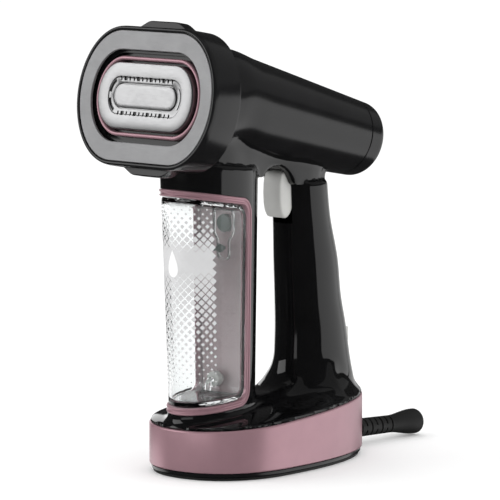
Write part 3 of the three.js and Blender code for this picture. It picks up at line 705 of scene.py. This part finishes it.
def make_upper_body():
    body = surface_net(upper_body_field, (-51, -82, 28), (51, 92, 240), BODY_STEP)
    for cutter in (
        prism_x(bay_outline(-0.25, BAY_CORNER), -40, 40),
        block((-8.3, 8, 155.5), (8.3, 39, 191.8)),
        block((-8.75, 71, CONTROL_Z - 14.15), (8.75, 100, CONTROL_Z + 14.15)),
        block((-0.15, 60, 48), (0.15, 100, 186)),
    ):
        body = boolean(body, cutter)
    build("upper_body", body, "body", "gloss_black",
          ["foot_top_cover", "column_spine", "bridge", "grip_shell_left", "grip_shell_right"], crease=32)


# ---------- barrel
def barrel_ring(y, offset, count=96):
    centre, half_a, half_b, pitch, power = [float(v) for v in barrel_section(np.array(y))]
    angle = full_turn(count)
    x = (half_a + offset) * signed_power(np.cos(angle), 2 / power)
    up = (half_b + offset) * signed_power(np.sin(angle), 2 / power)
    return np.stack([x, y + up * math.sin(pitch), centre + up * math.cos(pitch)], axis=-1)


def make_barrel():
    ys = [*np.linspace(BARREL_FRONT_Y, -60, 12), *np.linspace(-56, 78, 30), BARREL_SEAM_Y - 0.4]
    outer = [barrel_ring(y, 0) for y in ys] + [barrel_ring(BARREL_SEAM_Y - 0.05, -0.5)]
    inner = [barrel_ring(y, -WALL) for y in (BARREL_SEAM_Y - 0.05, *ys[-2::-4], BARREL_FRONT_Y)]
    build("barrel", loft(outer + inner, closed=True), "body", "satin_black", ["barrel_shell"])
    seam = BARREL_SEAM_Y + 0.35
    turn = [math.radians(a) for a in range(0, 91, 10)]
    edge = CAP_EDGE
    rings = [barrel_ring(seam, -0.6), barrel_ring(seam + 0.4, 0)]
    rings += [barrel_ring(y, 0) for y in np.linspace(seam + 2, BARREL_REAR_Y - edge, 6)]
    rings += [
        barrel_ring(BARREL_REAR_Y - edge * (1 - math.sin(a)), -edge * (1 - math.cos(a))) for a in turn[1:]
    ]
    rings += [barrel_ring(BARREL_REAR_Y, -edge - k) for k in (4, 10, 15)]
    build("barrel_cap", loft(rings), "body", "satin_black", ["barrel_end_cap"])


# ---------- steam head
def head_piece(half_width, half_height, straight):
    """The ring function of one racetrack outline for swept()."""
    def ring(inset, depth):
        return on_head(racetrack(half_width - inset, half_height - inset, straight), depth)
    return ring


def tab(side):
    """A finger tab on the rim of the front cover: a low trapezoid with eased edges."""
    base, rise = HEAD_H - 1.6, 6.1
    outline = rounded([(-24, base), (-22.5, base + 0.4), (-13, base + rise), (13, base + rise),
                       (22.5, base + 0.4), (24, base)], 3.0, steps=6, closed=False)
    flat = np.array([(a, side * u) for a, u in outline])
    middle = np.array([0.0, side * (base - 0.5)])
    rings = []
    for depth, shrink in ((9.0, 0.9), (9.4, 0.25), (10.0, 0.0), (18.0, 0.0), (18.6, 0.25), (19.0, 0.9)):
        size = 1 - shrink / 9
        rings.append(on_head(middle + (flat - middle) * (1, size), depth))
    return loft(rings)


ARROW = ((-3.2, 0), (1.0, 2.6), (1.0, 1.2), (-0.6, 0), (1.0, -1.2), (1.0, -2.6))
WINDOW_W = 47.5
WINDOW_H = 29.3
WINDOW_STRAIGHT = 23.9


def tab_arrow(side):
    """The cutter for the plain arrow in the outer face of one finger tab."""
    flat = np.array([(a - 8, 14 + b * 0.9) for a, b in ARROW])
    sunk = flat[:, 1] * math.cos(HEAD_PITCH), flat[:, 1] * math.sin(HEAD_PITCH)
    rings = []
    for up in (HEAD_H + 3.9, HEAD_H + 6):
        y = HEAD_Y + sunk[0] + side * up * math.sin(HEAD_PITCH)
        z = HEAD_Z - sunk[1] + side * up * math.cos(HEAD_PITCH)
        rings.append(np.stack([flat[:, 0], y, z], axis=-1))
    return loft(rings)


def make_front_cover():
    profile = [
        (0.0, 3.0), (0.0, COVER_DEPTH - 0.2), (2.0, COVER_DEPTH), (2.0, 4.4), (11.6, 4.4), (11.6, 1.9),
        (COVER_BORDER, 1.9), (COVER_BORDER, -0.2), (0.6, -0.4),
    ]
    sleeve = swept(rounded(profile, 0.9, steps=3), head_piece(HEAD_W, HEAD_H, HEAD_STRAIGHT))
    body = boolean(sleeve, combined(tab(1), tab(-1)), "UNION")
    body = boolean(body, combined(tab_arrow(1), tab_arrow(-1)))
    build("front_cover_sleeve", body, "front_cover", "satin_black", ["cover_sleeve"])
    outer = head_piece(HEAD_W - COVER_BORDER - 0.3, HEAD_H - COVER_BORDER - 0.3, HEAD_STRAIGHT)
    window = head_piece(WINDOW_W, WINDOW_H, WINDOW_STRAIGHT)
    rings = [outer(0.35, 1.6), outer(0.0, 1.3), outer(0.0, 0.25), outer(0.3, 0.0)]
    rings += [window(-0.35, 0.0), window(0.0, 0.3), window(0.0, 1.6)]
    build("grey_face_plate", loft(rings, closed=True), "front_cover", "grey_face", ["cover_face_plate"])


ROSE_DEPTH = 4.4


def rose_ring(inset, depth):
    """The rose ring narrows from its outer outline to its inner one as inset reaches its depth."""
    grow = inset / ROSE_DEPTH
    return on_head(racetrack(45.2 - 2.3 * grow, 25.5 - 2.7 * grow, WINDOW_STRAIGHT), depth)


def make_head_core():
    wide, room = head_piece(58, 41.9, 25), head_piece(52, 36, 24)
    recess, mouth = head_piece(46.3, 27.7, WINDOW_STRAIGHT), head_piece(41.6, 21.5, 23.7)
    rings = [wide(0, 4.8), wide(0, 23.6), room(0, 23.6), room(0, 11)]
    rings += [mouth(0, 11), mouth(0, 8.4), recess(0, 8.4), recess(0, 4.8)]
    build("head_ring", loft(rings, closed=True), "body", "satin_black", ["head_housing"])
    profile = rounded([(0, 8.3), (0, 2.3), (ROSE_DEPTH, 2.3), (ROSE_DEPTH, 8.3)], 2.0, steps=6)
    build("rose_trim_ring", swept(profile, rose_ring), "body", "rose_plastic", ["rose_ring"])


def steam_openings():
    """Outlines of the steam holes: rows of one wide hole and two slots, and arcs at the ends."""
    outlines = []
    for side in (1, -1):
        for i in range(13):
            x, wide = (i - 6) * 3.7, 1.45 if i % 3 == 1 else 0.6
            shape = rounded([(-wide, -1.35), (wide, -1.35), (wide, 1.35), (-wide, 1.35)], 0.5, steps=2)
            outlines.append([(x + a, side * 11.0 + b) for a, b in shape])
    for side, low, high, wide in ((-1, 10, 60, 1.0), (-1, -60, -10, 1.0), (1, -38, 38, 0.4)):
        angle = np.radians(np.linspace(low, high, 10))
        far, near = [[(side * (22 + (8.6 + w) * math.cos(a)), (10.8 + w) * math.sin(a)) for a in angle]
                     for w in (wide, -wide)]
        outlines.append(far + near[::-1])
    return [np.array(outline) for outline in outlines]


PLATE_PROFILE = (
    (0, 8.6), (0, 1.0), (0.12, 0.35), (0.5, -0.1), (1.2, -0.3), (8.6, -0.3), (9.2, -0.2), (9.7, 0.25),
    (10.2, 0.35),
)
GROOVE_PROFILE = ((-0.3, 0.35), (0.0, 0.5), (0.0, 1.3), (6, 1.3))
BAR_PROFILE = ((0.0, 1.2), (0.0, 0.3), (0.15, -0.1), (0.6, -0.28), (2.5, -0.36), (5.5, -0.38))


def make_steam_plate():
    plate, groove = head_piece(41.3, 21.2, 23.6), head_piece(27.8, 8.1, 20)
    bar = head_piece(27.3, 7.6, 20)
    rings = [plate(*row) for row in PLATE_PROFILE] + [groove(*row) for row in GROOVE_PROFILE]
    whole = to_mesh("plate", *loft(rings))
    openings = steam_openings()
    for outline in openings:
        whole = boolean(whole, loft([on_head(outline, depth) for depth in (-2.0, 2.4)]))
    # Black liners just inside each steam hole: painted shade that darkens the depth of the holes
    dark = [loft([on_head(outline, depth) for depth in (1.0, 3.4)]) for outline in openings]
    build("steam_hole_painted_shade", combined(*dark), "body", "satin_black")
    build("soleplate", whole, "body", "silver_plate", ["steam_plate"], crease=30)
    build("plate_bar", loft([bar(*row) for row in BAR_PROFILE]), "body", "silver_plate", ["plate_insert"])


# ---------- tank bay and tank
def column_point(angle, z, offset):
    half_a, half_b, middle = section(COLUMN, np.asarray(z, float))
    x = (half_a + offset) * signed_power(np.cos(angle), 2 / SECTION_POWER)
    y = middle + (half_b + offset) * signed_power(np.sin(angle), 2 / SECTION_POWER)
    return np.stack(np.broadcast_arrays(x, y, z), axis=-1)


def angle_at(y, z, offset=0.0):
    _, half_b, middle = section(COLUMN, np.asarray(z, float))
    along = (y - middle) / (half_b + offset)
    return np.arcsin(np.clip(signed_power(along, SECTION_POWER / 2), -1, 1))


def edge_rows(angles, edge_z, edge, inward_z):
    """Rows of the trim's path along the top or the bottom edge of the bay."""
    rows = []
    for a in angles:
        y = float(column_point(a, edge_z, 0)[1])
        rows.append((a, y, edge(y), 0.0, inward_z))
    return rows


def corner_rows(degrees, centre_y, centre_z):
    """Rows of the trim's path round one rear corner of the bay."""
    turns = [(math.cos(a), math.sin(a)) for a in np.radians(degrees)]
    return [(None, centre_y + BAY_CORNER * c, centre_z + BAY_CORNER * s, -c, -s) for c, s in turns]


def trim_path(steps=40):
    """Points round one half of the bay's edge: (angle, y, z, inward y, inward z), nose to nose."""
    straight_end = BAY_REAR_Y - BAY_CORNER
    top_end = float(angle_at(straight_end, bay_top(straight_end)))
    low_end = float(angle_at(straight_end, bay_bottom(straight_end)))
    top_z = bay_top(straight_end) - BAY_CORNER
    low_z = bay_bottom(straight_end) + BAY_CORNER
    rows = edge_rows(np.linspace(-math.pi / 2, top_end, steps), BAY_TOP_Z, bay_top, -1.0)
    rows += corner_rows(np.linspace(84, 0, 11), straight_end, top_z)
    rows += [(None, BAY_REAR_Y, z, -1.0, 0.0) for z in np.linspace(top_z, low_z, 50)[1:-1]]
    rows += corner_rows(np.linspace(0, -84, 11), straight_end, low_z)
    rows += edge_rows(np.linspace(low_end, -math.pi / 2, steps), BAY_BOTTOM_Z, bay_bottom, 1.0)
    return rows


def trim_point(row, inward, out):
    angle, y, z, step_y, step_z = row
    y, z = y + inward * step_y, z + inward * step_z
    if angle is None:
        angle = float(angle_at(y, z, out))
    return column_point(angle, z, out)


TRIM_PROFILE = (
    (0.0, 0.1), (0.5, 0.7), (1.5, 0.7), (1.9, -0.1), (3.1, -0.1), (3.5, 0.7), (4.1, 0.7), (TRIM_WIDTH, 0.1),
    (TRIM_WIDTH, -2.9), (0.0, -2.9),
)
PANEL_LAYERS = ((-29.7, 0.5), (-29.9, 0.2), (-30.7, 0.2), (-31.0, 0.5))
PANEL_MARGIN = 3.7


def panel_ring(y, inset, low, high):
    """Outline of the rose back panel at one depth, as wide as the column leaves room for."""
    zs = np.linspace(low + inset + 3, high - inset - 3, 30)
    side = [(float(column_half_width(y, z)) - PANEL_MARGIN - inset, z) for z in zs]
    across = side + [(-x, z) for x, z in side[::-1]]
    return np.array([(x, y, z) for x, z in rounded(across, 3.0, steps=2)])


def make_bay():
    profile = rounded(TRIM_PROFILE, 0.3, steps=2)
    half = [np.array([trim_point(row, u, v) for u, v in profile]) for row in trim_path()]
    other = [ring * (-1, 1, 1) for ring in half[-2:0:-1]]
    build("rose_bay_trim", loft(half + other, closed=True), "body", "rose_plastic", ["bay_trim"], crease=50)
    heights = [z for _, z in bay_outline(0.35, BAY_CORNER)[1:-1]]
    rings = [panel_ring(y, inset, min(heights), max(heights)) for y, inset in PANEL_LAYERS]
    build("rose_back_panel", loft(rings), "body", "rose_panel", ["bay_back_panel"])


def column_half_width(y, z):
    half_a, half_b, middle = section(COLUMN, np.asarray(z, float))
    inside = np.clip(1 - np.abs((y - middle) / half_b) ** SECTION_POWER, 0, 1)
    return half_a * inside ** (1 / SECTION_POWER)


def bay_field(p, inset, corner):
    """Distance-like field of the tank's side outline, with rounded rear corners."""
    top = (p[:, 2] - bay_top(p[:, 1], inset)) / math.hypot(1, BAY_TOP_SLOPE)
    low = bay_bottom(p[:, 1], inset) - p[:, 2]
    rear = p[:, 1] - (BAY_REAR_Y - inset)
    high = np.maximum(top, low)
    a, b = np.maximum(high + corner, 0), np.maximum(rear + corner, 0)
    return np.minimum(np.maximum(high, rear) + corner, 0) + np.hypot(a, b) - corner


def tank_field(shrink, inset, corner, edge):
    def field(p):
        return smooth_max(upright_field(p, COLUMN, -shrink), bay_field(p, inset, corner), edge)
    return field


TANK_STEP = 1.2
TANK_GAP = 0.45
FILLER_X = 6.0
FILLER_Z = 161.0
FILLER_RADIUS = 6.0
VALVE_Z = 60.0
VALVE_RADIUS = 3.2
STOPPER_PROFILE = ((0.0, -38.0), (5.7, -38.0), (5.7, -32.7), (4.2, -32.7), (3.6, -34.4), (0.0, -34.4))
FLOAT_X = FILLER_X - 1
FLOAT_Y = -40
FLOAT_Z = 145
FLOAT_RADIUS = 2.7
SURROUND = (
    (-8.5, 175), (8.5, 175), (8.5, 154), (5.0, 150), (5.0, 137), (-5.0, 137), (-5.0, 150), (-8.5, 154),
)
SURROUND_LAYERS = ((-35.4, 1.0), (-37.6, 1.0), (-38.0, 0.97), (-38.0, 0.93), (-37.6, 0.9), (-35.4, 0.9))


def make_tank():
    low, high = (-28, -84, 36), (28, -30, 188)
    outer = surface_net(tank_field(TANK_GAP, TRIM_WIDTH + 0.4, 7.5, 1.6), low, high, TANK_STEP)
    inner = surface_net(tank_field(2.3, TRIM_WIDTH + 2.6, 5.5, 2.4), low, high, TANK_STEP)
    inner = (inner[0], [face[::-1] for face in inner[1]])
    whole = to_mesh("tank", *combined(outer, inner), outward=False)
    for x, z, radius in ((FILLER_X, FILLER_Z, FILLER_RADIUS), (0.0, VALVE_Z, VALVE_RADIUS)):
        whole = boolean(whole, rod((x, -44, z), (x, -25, z), radius, sides=48))
    build("clear_tank", whole, "tank", "clear_tank", ["tank_body"], crease=40)
    plug = rounded(STOPPER_PROFILE, 0.4, steps=2, closed=False)
    rings = [ring_y((FILLER_X, y, FILLER_Z), max(radius, 0.05), 40) for radius, y in plug]
    build("filler_stopper", loft(rings), "tank", "seal_grey", ["filler_plug"])
    make_float_guide()


def make_float_guide():
    """The moulded outline round the filler and the peg with its ball, inside the tank's rear wall."""
    flat = np.array(rounded(SURROUND, 4.0, steps=5))
    middle = np.mean(flat, axis=0)
    rings = []
    for y, grow in SURROUND_LAYERS:
        ring = middle + (flat - middle) * grow
        rings.append(np.stack([FILLER_X + ring[:, 0] - 1.0, np.full(len(ring), y), ring[:, 1]], axis=-1))
    build("filler_surround", loft(rings, closed=True), "tank", "clear_tank")
    peg = rod((FLOAT_X, -35.4, FLOAT_Z), (FLOAT_X, -46, FLOAT_Z), 1.3, sides=20, edge=0.4)
    turns = [math.radians(turn) for turn in np.linspace(-84, 84, 11)]
    rings = [
        ring_y((FLOAT_X, FLOAT_Y + FLOAT_RADIUS * math.sin(a), FLOAT_Z), FLOAT_RADIUS * math.cos(a), 24)
        for a in turns
    ]
    build("float_peg", combined(peg, loft(rings)), "tank", "seal_grey")


def arc_table(z, count=400):
    """Angles and arc lengths along the tank's front, measured from its nose."""
    angle = np.linspace(-math.pi / 2, 0, count)
    points = column_point(angle, np.full(count, z), -0.4)
    length = np.concatenate([[0], np.cumsum(np.linalg.norm(np.diff(points, axis=0), axis=1))])
    return angle, length


def on_tank(along, z, lift):
    """A point on the outside of the tank at an arc length from the nose line."""
    angle, length = arc_table(z)
    a = np.interp(abs(along), length, angle)
    if along < 0:
        a = -math.pi - a
    return column_point(a, z, -TANK_GAP + lift)


PRINT_STEP = 2.7
PRINT_HALF = 27.0
PRINT_MIDDLE_Z = 139.0
PRINT_BAND = 8.6
PRINT_TOP_Z = 175.5
PRINT_LOW_Z = 58.0
DROP_HALF_WIDTH = 5.6
DROP_HALF_HEIGHT = 8.8
DROP_ROWS = 18


def flake(outline, lift=0.10):
    """A thin printed patch on the tank from a small outline of (arc, height) points."""
    low = [on_tank(a, z, 0.02) for a, z in outline]
    high = [on_tank(a, z, lift) for a, z in outline]
    return loft([np.array(low), np.array(high)])


def diamond_size(z):
    """Half diagonal of the printed diamonds at a height: full in the band, smaller away from it."""
    if abs(z - PRINT_MIDDLE_Z) < PRINT_BAND:
        return PRINT_STEP * 1.0
    if z > PRINT_MIDDLE_Z:
        share = 1 - (z - PRINT_MIDDLE_Z - PRINT_BAND) / (PRINT_TOP_Z - PRINT_MIDDLE_Z - PRINT_BAND)
    else:
        share = 1 - (PRINT_MIDDLE_Z - PRINT_BAND - z) / (PRINT_MIDDLE_Z - PRINT_BAND - PRINT_LOW_Z)
    return PRINT_STEP * min(0.93, 0.18 + 0.78 * max(share, 0.0))


def make_tank_print():
    shapes = []
    columns = int(PRINT_HALF / PRINT_STEP)
    rows = int((PRINT_TOP_Z - PRINT_LOW_Z) / PRINT_STEP)
    for j in range(rows + 1):
        z = PRINT_TOP_Z - j * PRINT_STEP
        size = diamond_size(z)
        for i in range(-columns, columns + 1):
            if (i + j) % 2 == 0:
                x = i * PRINT_STEP
                shapes.append(flake([(x, z - size), (x + size, z), (x, z + size), (x - size, z)]))
    build("tank_print", combined(*shapes), "tank", "tank_print", crease=60)
    make_drop_mark()


def make_drop_mark():
    """The plain drop on the printed band, as strips of small patches that follow the tank."""
    turn = np.linspace(0.0, math.pi, DROP_ROWS + 1)
    wide = DROP_HALF_WIDTH * np.sin(turn) * np.sin(turn / 2) ** 1.4
    high = PRINT_MIDDLE_Z - 1 + DROP_HALF_HEIGHT * np.cos(turn)
    strips = []
    for k in range(DROP_ROWS):
        for a in np.arange(-4, 4) / 4:
            b = a + 0.25
            patch = [(a * wide[k], high[k]), (b * wide[k], high[k]),
                     (b * wide[k + 1], high[k + 1]), (a * wide[k + 1], high[k + 1])]
            strips.append(flake(patch, 0.2))
    build("tank_drop_mark", combined(*strips), "tank", "mark_white", crease=60)


# ---------- trigger and controls
def softened(shape, edge, steps=3, limit=40):
    """A mesh with its sharp edges rounded by a bevel."""
    mesh = to_mesh("soft", *shape)
    work = bmesh.new()
    work.from_mesh(mesh)
    bmesh.ops.dissolve_limit(work, angle_limit=math.radians(2), verts=work.verts, edges=work.edges)
    sharp = [e for e in work.edges if len(e.link_faces) == 2 and e.calc_face_angle() > math.radians(limit)]
    bmesh.ops.bevel(work, geom=sharp, offset=edge * MM, segments=steps, affect="EDGES", profile=0.5,
                    clamp_overlap=True)
    work.to_mesh(mesh)
    work.free()
    return mesh


TRIGGER_PROFILE = (
    (35.4, 190.6), (22, 191.0), (16.5, 189.2), (14.3, 184), (13.8, 176), (14.2, 168.5), (15.4, 163.4),
    (17.8, 159.8), (20.6, 159.2), (24.0, 161.6), (26.8, 166.5), (28.0, 173), (35.7, 182),
)
TRIGGER_HALF_WIDTH = 7.9
PIN_HALF_LENGTH = 8.1
PIN_RADIUS = 1.0
PIN_BORE_RADIUS = 1.3


def pivot_rod(half_length, radius):
    ends = [(x, TRIGGER_PIVOT_Y, TRIGGER_PIVOT_Z) for x in (-half_length, half_length)]
    return rod(*ends, radius)


def make_trigger():
    outline = rounded(TRIGGER_PROFILE, 2.5, steps=4)
    build("trigger_pivot_pin", pivot_rod(PIN_HALF_LENGTH, PIN_RADIUS), "body", "steel", ["trigger_pin"])
    key = softened(prism_x(outline, -TRIGGER_HALF_WIDTH, TRIGGER_HALF_WIDTH), 1.6, 4)
    bored = boolean(key, pivot_rod(9, PIN_BORE_RADIUS))
    build("trigger_key", bored, "trigger", "light_grey_plastic", ["trigger"], crease=50)


CONTROL_FACE_Y = 78.2
BEZEL_BACK_Y = 74.8
BEZEL_STEP = 0.6
KEY_PITCH = 6.25
LENS_Z = CONTROL_Z + 12.7


def bezel_field(p):
    """A frame that follows the grip's surface, 0.9 mm proud of it."""
    inside = np.maximum(np.abs(p[:, 0]) - 8.6, np.abs(p[:, 2] - CONTROL_Z) - 14)
    return smooth_max(smooth_max(upright_field(p, GRIP, 0.9), inside, 1.0), BEZEL_BACK_Y - p[:, 1], 0.4)


def make_controls():
    near, far = CONTROL_FACE_Y - 6, CONTROL_FACE_Y + 8
    bezel = surface_net(bezel_field, (-10, 73, CONTROL_Z - 16), (10, 90, CONTROL_Z + 16), BEZEL_STEP)
    bezel = to_mesh("bezel", *bezel)
    for low, high in ((1, 11.5), (-11.5, -1)):
        bezel = boolean(bezel, block((-6.2, near, CONTROL_Z + low), (6.2, far, CONTROL_Z + high)))
    bezel = boolean(bezel, rod((0, near, LENS_Z), (0, far, LENS_Z), 1.25))
    build("control_bezel", bezel, "body", "satin_black", ["button_bezel"])
    front, back, dish_y = CONTROL_FACE_Y + 0.4, CONTROL_FACE_Y + 5.6, CONTROL_FACE_Y + 25.0
    for name, z in (("power_button", CONTROL_Z + KEY_PITCH), ("steam_level_button", CONTROL_Z - KEY_PITCH)):
        key = block((-5.7, front, z - 4.7), (5.7, back, z + 4.7), 0.9, 3)
        dish = rod((-4, dish_y, z), (4, dish_y, z), 20.0, sides=96)
        build(name + "_key", boolean(key, dish), name, "light_grey_plastic", [name])


# ---------- cord guard
def guard_centre(y):
    return GUARD_Z - GUARD_DROOP * (y - GUARD_Y)


GUARD_RADIUS = 6.35
GUARD_TAPER = 0.75
GUARD_FLARE = 2.85
GUARD_BORE = 3.5
GUARD_SLOTS = 8
SLOT_PITCH = 5.2
SLOT_HALF_WIDTH = 0.7
SLOT_FLOOR = 4.7
SLOT_REACH = 9.5
SLOT_HALF_BRIDGE = 1.3


def guard_ring(y, radius):
    return ring_y((0.0, y, guard_centre(y)), radius, 48)


def guard_slot(y, turned):
    """The cutter for one pair of flex slots; every second pair is turned by a quarter."""
    z = guard_centre(y)
    near, far = y - SLOT_HALF_WIDTH, y + SLOT_HALF_WIDTH
    corners = ((near, SLOT_REACH), (far, SLOT_REACH), (far, SLOT_FLOOR), (near, SLOT_FLOOR))
    ring = loft([guard_ring(*corner) for corner in corners], closed=True)
    x_room, z_room = (SLOT_HALF_BRIDGE, 12) if turned else (12, SLOT_HALF_BRIDGE)
    return boolean(ring, block((-x_room, y - 2, z - z_room), (x_room, y + 2, z + z_room)))


def make_cord_guard():
    ys = np.linspace(GUARD_Y, GUARD_Y + GUARD_LENGTH, 120)
    along = (ys - GUARD_Y) / GUARD_LENGTH
    radius = GUARD_RADIUS - GUARD_TAPER * along
    flare = np.clip((along - 0.60) / 0.34, 0, 1)
    radius = radius + GUARD_FLARE * flare ** 2 * (3 - 2 * flare)
    radius = radius - 1.4 * np.clip((along - 0.965) / 0.035, 0, 1) ** 2
    outer = [guard_ring(y, r) for y, r in zip(ys, radius)]
    inner = [guard_ring(y, GUARD_BORE) for y in (ys[-1], 150, 120, ys[0])]
    guard = to_mesh("guard", *loft(outer + inner, closed=True))
    for k in range(GUARD_SLOTS):
        guard = boolean(guard, guard_slot(GUARD_Y + 5.4 + SLOT_PITCH * k, k % 2))
    build("cord_strain_relief", guard, "body", "black_rubber", ["cord_guard"])


# ---------- studio
def emitter(name, location, target, size_x, size_y, power):
    data = bpy.data.lights.new(name, "AREA")
    data.shape = "RECTANGLE"
    data.size = size_x
    data.size_y = size_y
    data.energy = power
    lamp = added(name, data)
    lamp.location = location
    lamp.rotation_euler = (Vector(target) - Vector(location)).to_track_quat("-Z", "Y").to_euler()


def swap_in_mirrors(tree, seen, mirrored, output):
    """Give the output one shader, and another to rays reflected by a glossy surface."""
    path = tree.nodes.new("ShaderNodeLightPath")
    both = tree.nodes.new("ShaderNodeMath")
    both.operation = "MULTIPLY"
    tree.links.new(path.outputs["Is Glossy Ray"], both.inputs[0])
    tree.links.new(path.outputs["Is Reflection Ray"], both.inputs[1])
    mix = tree.nodes.new("ShaderNodeMixShader")
    tree.links.new(both.outputs[0], mix.inputs["Fac"])
    tree.links.new(seen, mix.inputs[1])
    tree.links.new(mirrored, mix.inputs[2])
    tree.links.new(mix.outputs["Shader"], tree.nodes[output].inputs["Surface"])


def make_floor():
    work = bmesh.new()
    bmesh.ops.create_grid(work, x_segments=1, y_segments=1, size=6.0)
    mesh = bpy.data.meshes.new("floor")
    work.to_mesh(mesh)
    work.free()
    floor = added("floor", mesh)
    floor.location = (0, 0, -0.0002)
    material, tree, shader = new_material("floor_white")
    settle(shader, Base_Color=(0.93, 0.93, 0.93, 1), Roughness=0.9, Specular_IOR_Level=0.0,
           Emission_Color=(1, 1, 1, 1), Emission_Strength=0.12)
    clear = tree.nodes.new("ShaderNodeBsdfTransparent")
    swap_in_mirrors(tree, shader.outputs["BSDF"], clear.outputs["BSDF"], "Material Output")
    mesh.materials.append(material)


def make_world():
    world = bpy.data.worlds.new("studio")
    bpy.context.scene.world = world
    world.use_nodes = True
    tree = world.node_tree
    back = tree.nodes["Background"]
    settle(back, Color=(1, 1, 1, 1), Strength=1.0)
    dark = tree.nodes.new("ShaderNodeBackground")
    settle(dark, Color=(1, 1, 1, 1), Strength=0.04)
    swap_in_mirrors(tree, back.outputs["Background"], dark.outputs["Background"], "World Output")


def around(azimuth, distance, height):
    a = math.radians(azimuth)
    return (distance * math.cos(a), distance * math.sin(a), height)


def make_lights():
    centre = (0, 0, 0.15)
    emitter("right_softbox", around(52, 1.4, -0.26), centre, 2.1, 1.2, 8.2)
    emitter("rear_softbox", around(104, 1.5, 0.0), centre, 0.8, 0.55, 1.0)
    emitter("right_high_softbox", around(62, 1.4, 1.1), centre, 2.2, 1.2, 1.3)
    emitter("front_softbox", around(-88, 3.0, 0.1), centre, 2.6, 0.7, 6.0)
    emitter("left_softbox", around(150, 1.5, 0.15), centre, 0.4, 1.2, 2.4)
    emitter("left_low_softbox", around(186, 1.5, -0.46), (0, 0, 0.02), 1.3, 0.45, 2.6)
    emitter("plate_softbox", around(-133, 1.5, 0.70), (0, 0, 0.2), 1.0, 0.9, 5.2)
    emitter("top_softbox", (0.1, 0.1, 1.6), centre, 1.4, 1.4, 1.0)


def make_studio():
    make_floor()
    make_world()
    make_lights()
    bpy.context.scene.view_settings.view_transform = "Standard"


make_foot()
make_upper_body()
make_barrel()
make_front_cover()
make_head_core()
make_steam_plate()
make_bay()
make_tank()
make_tank_print()
make_trigger()
make_controls()
make_cord_guard()
make_studio()
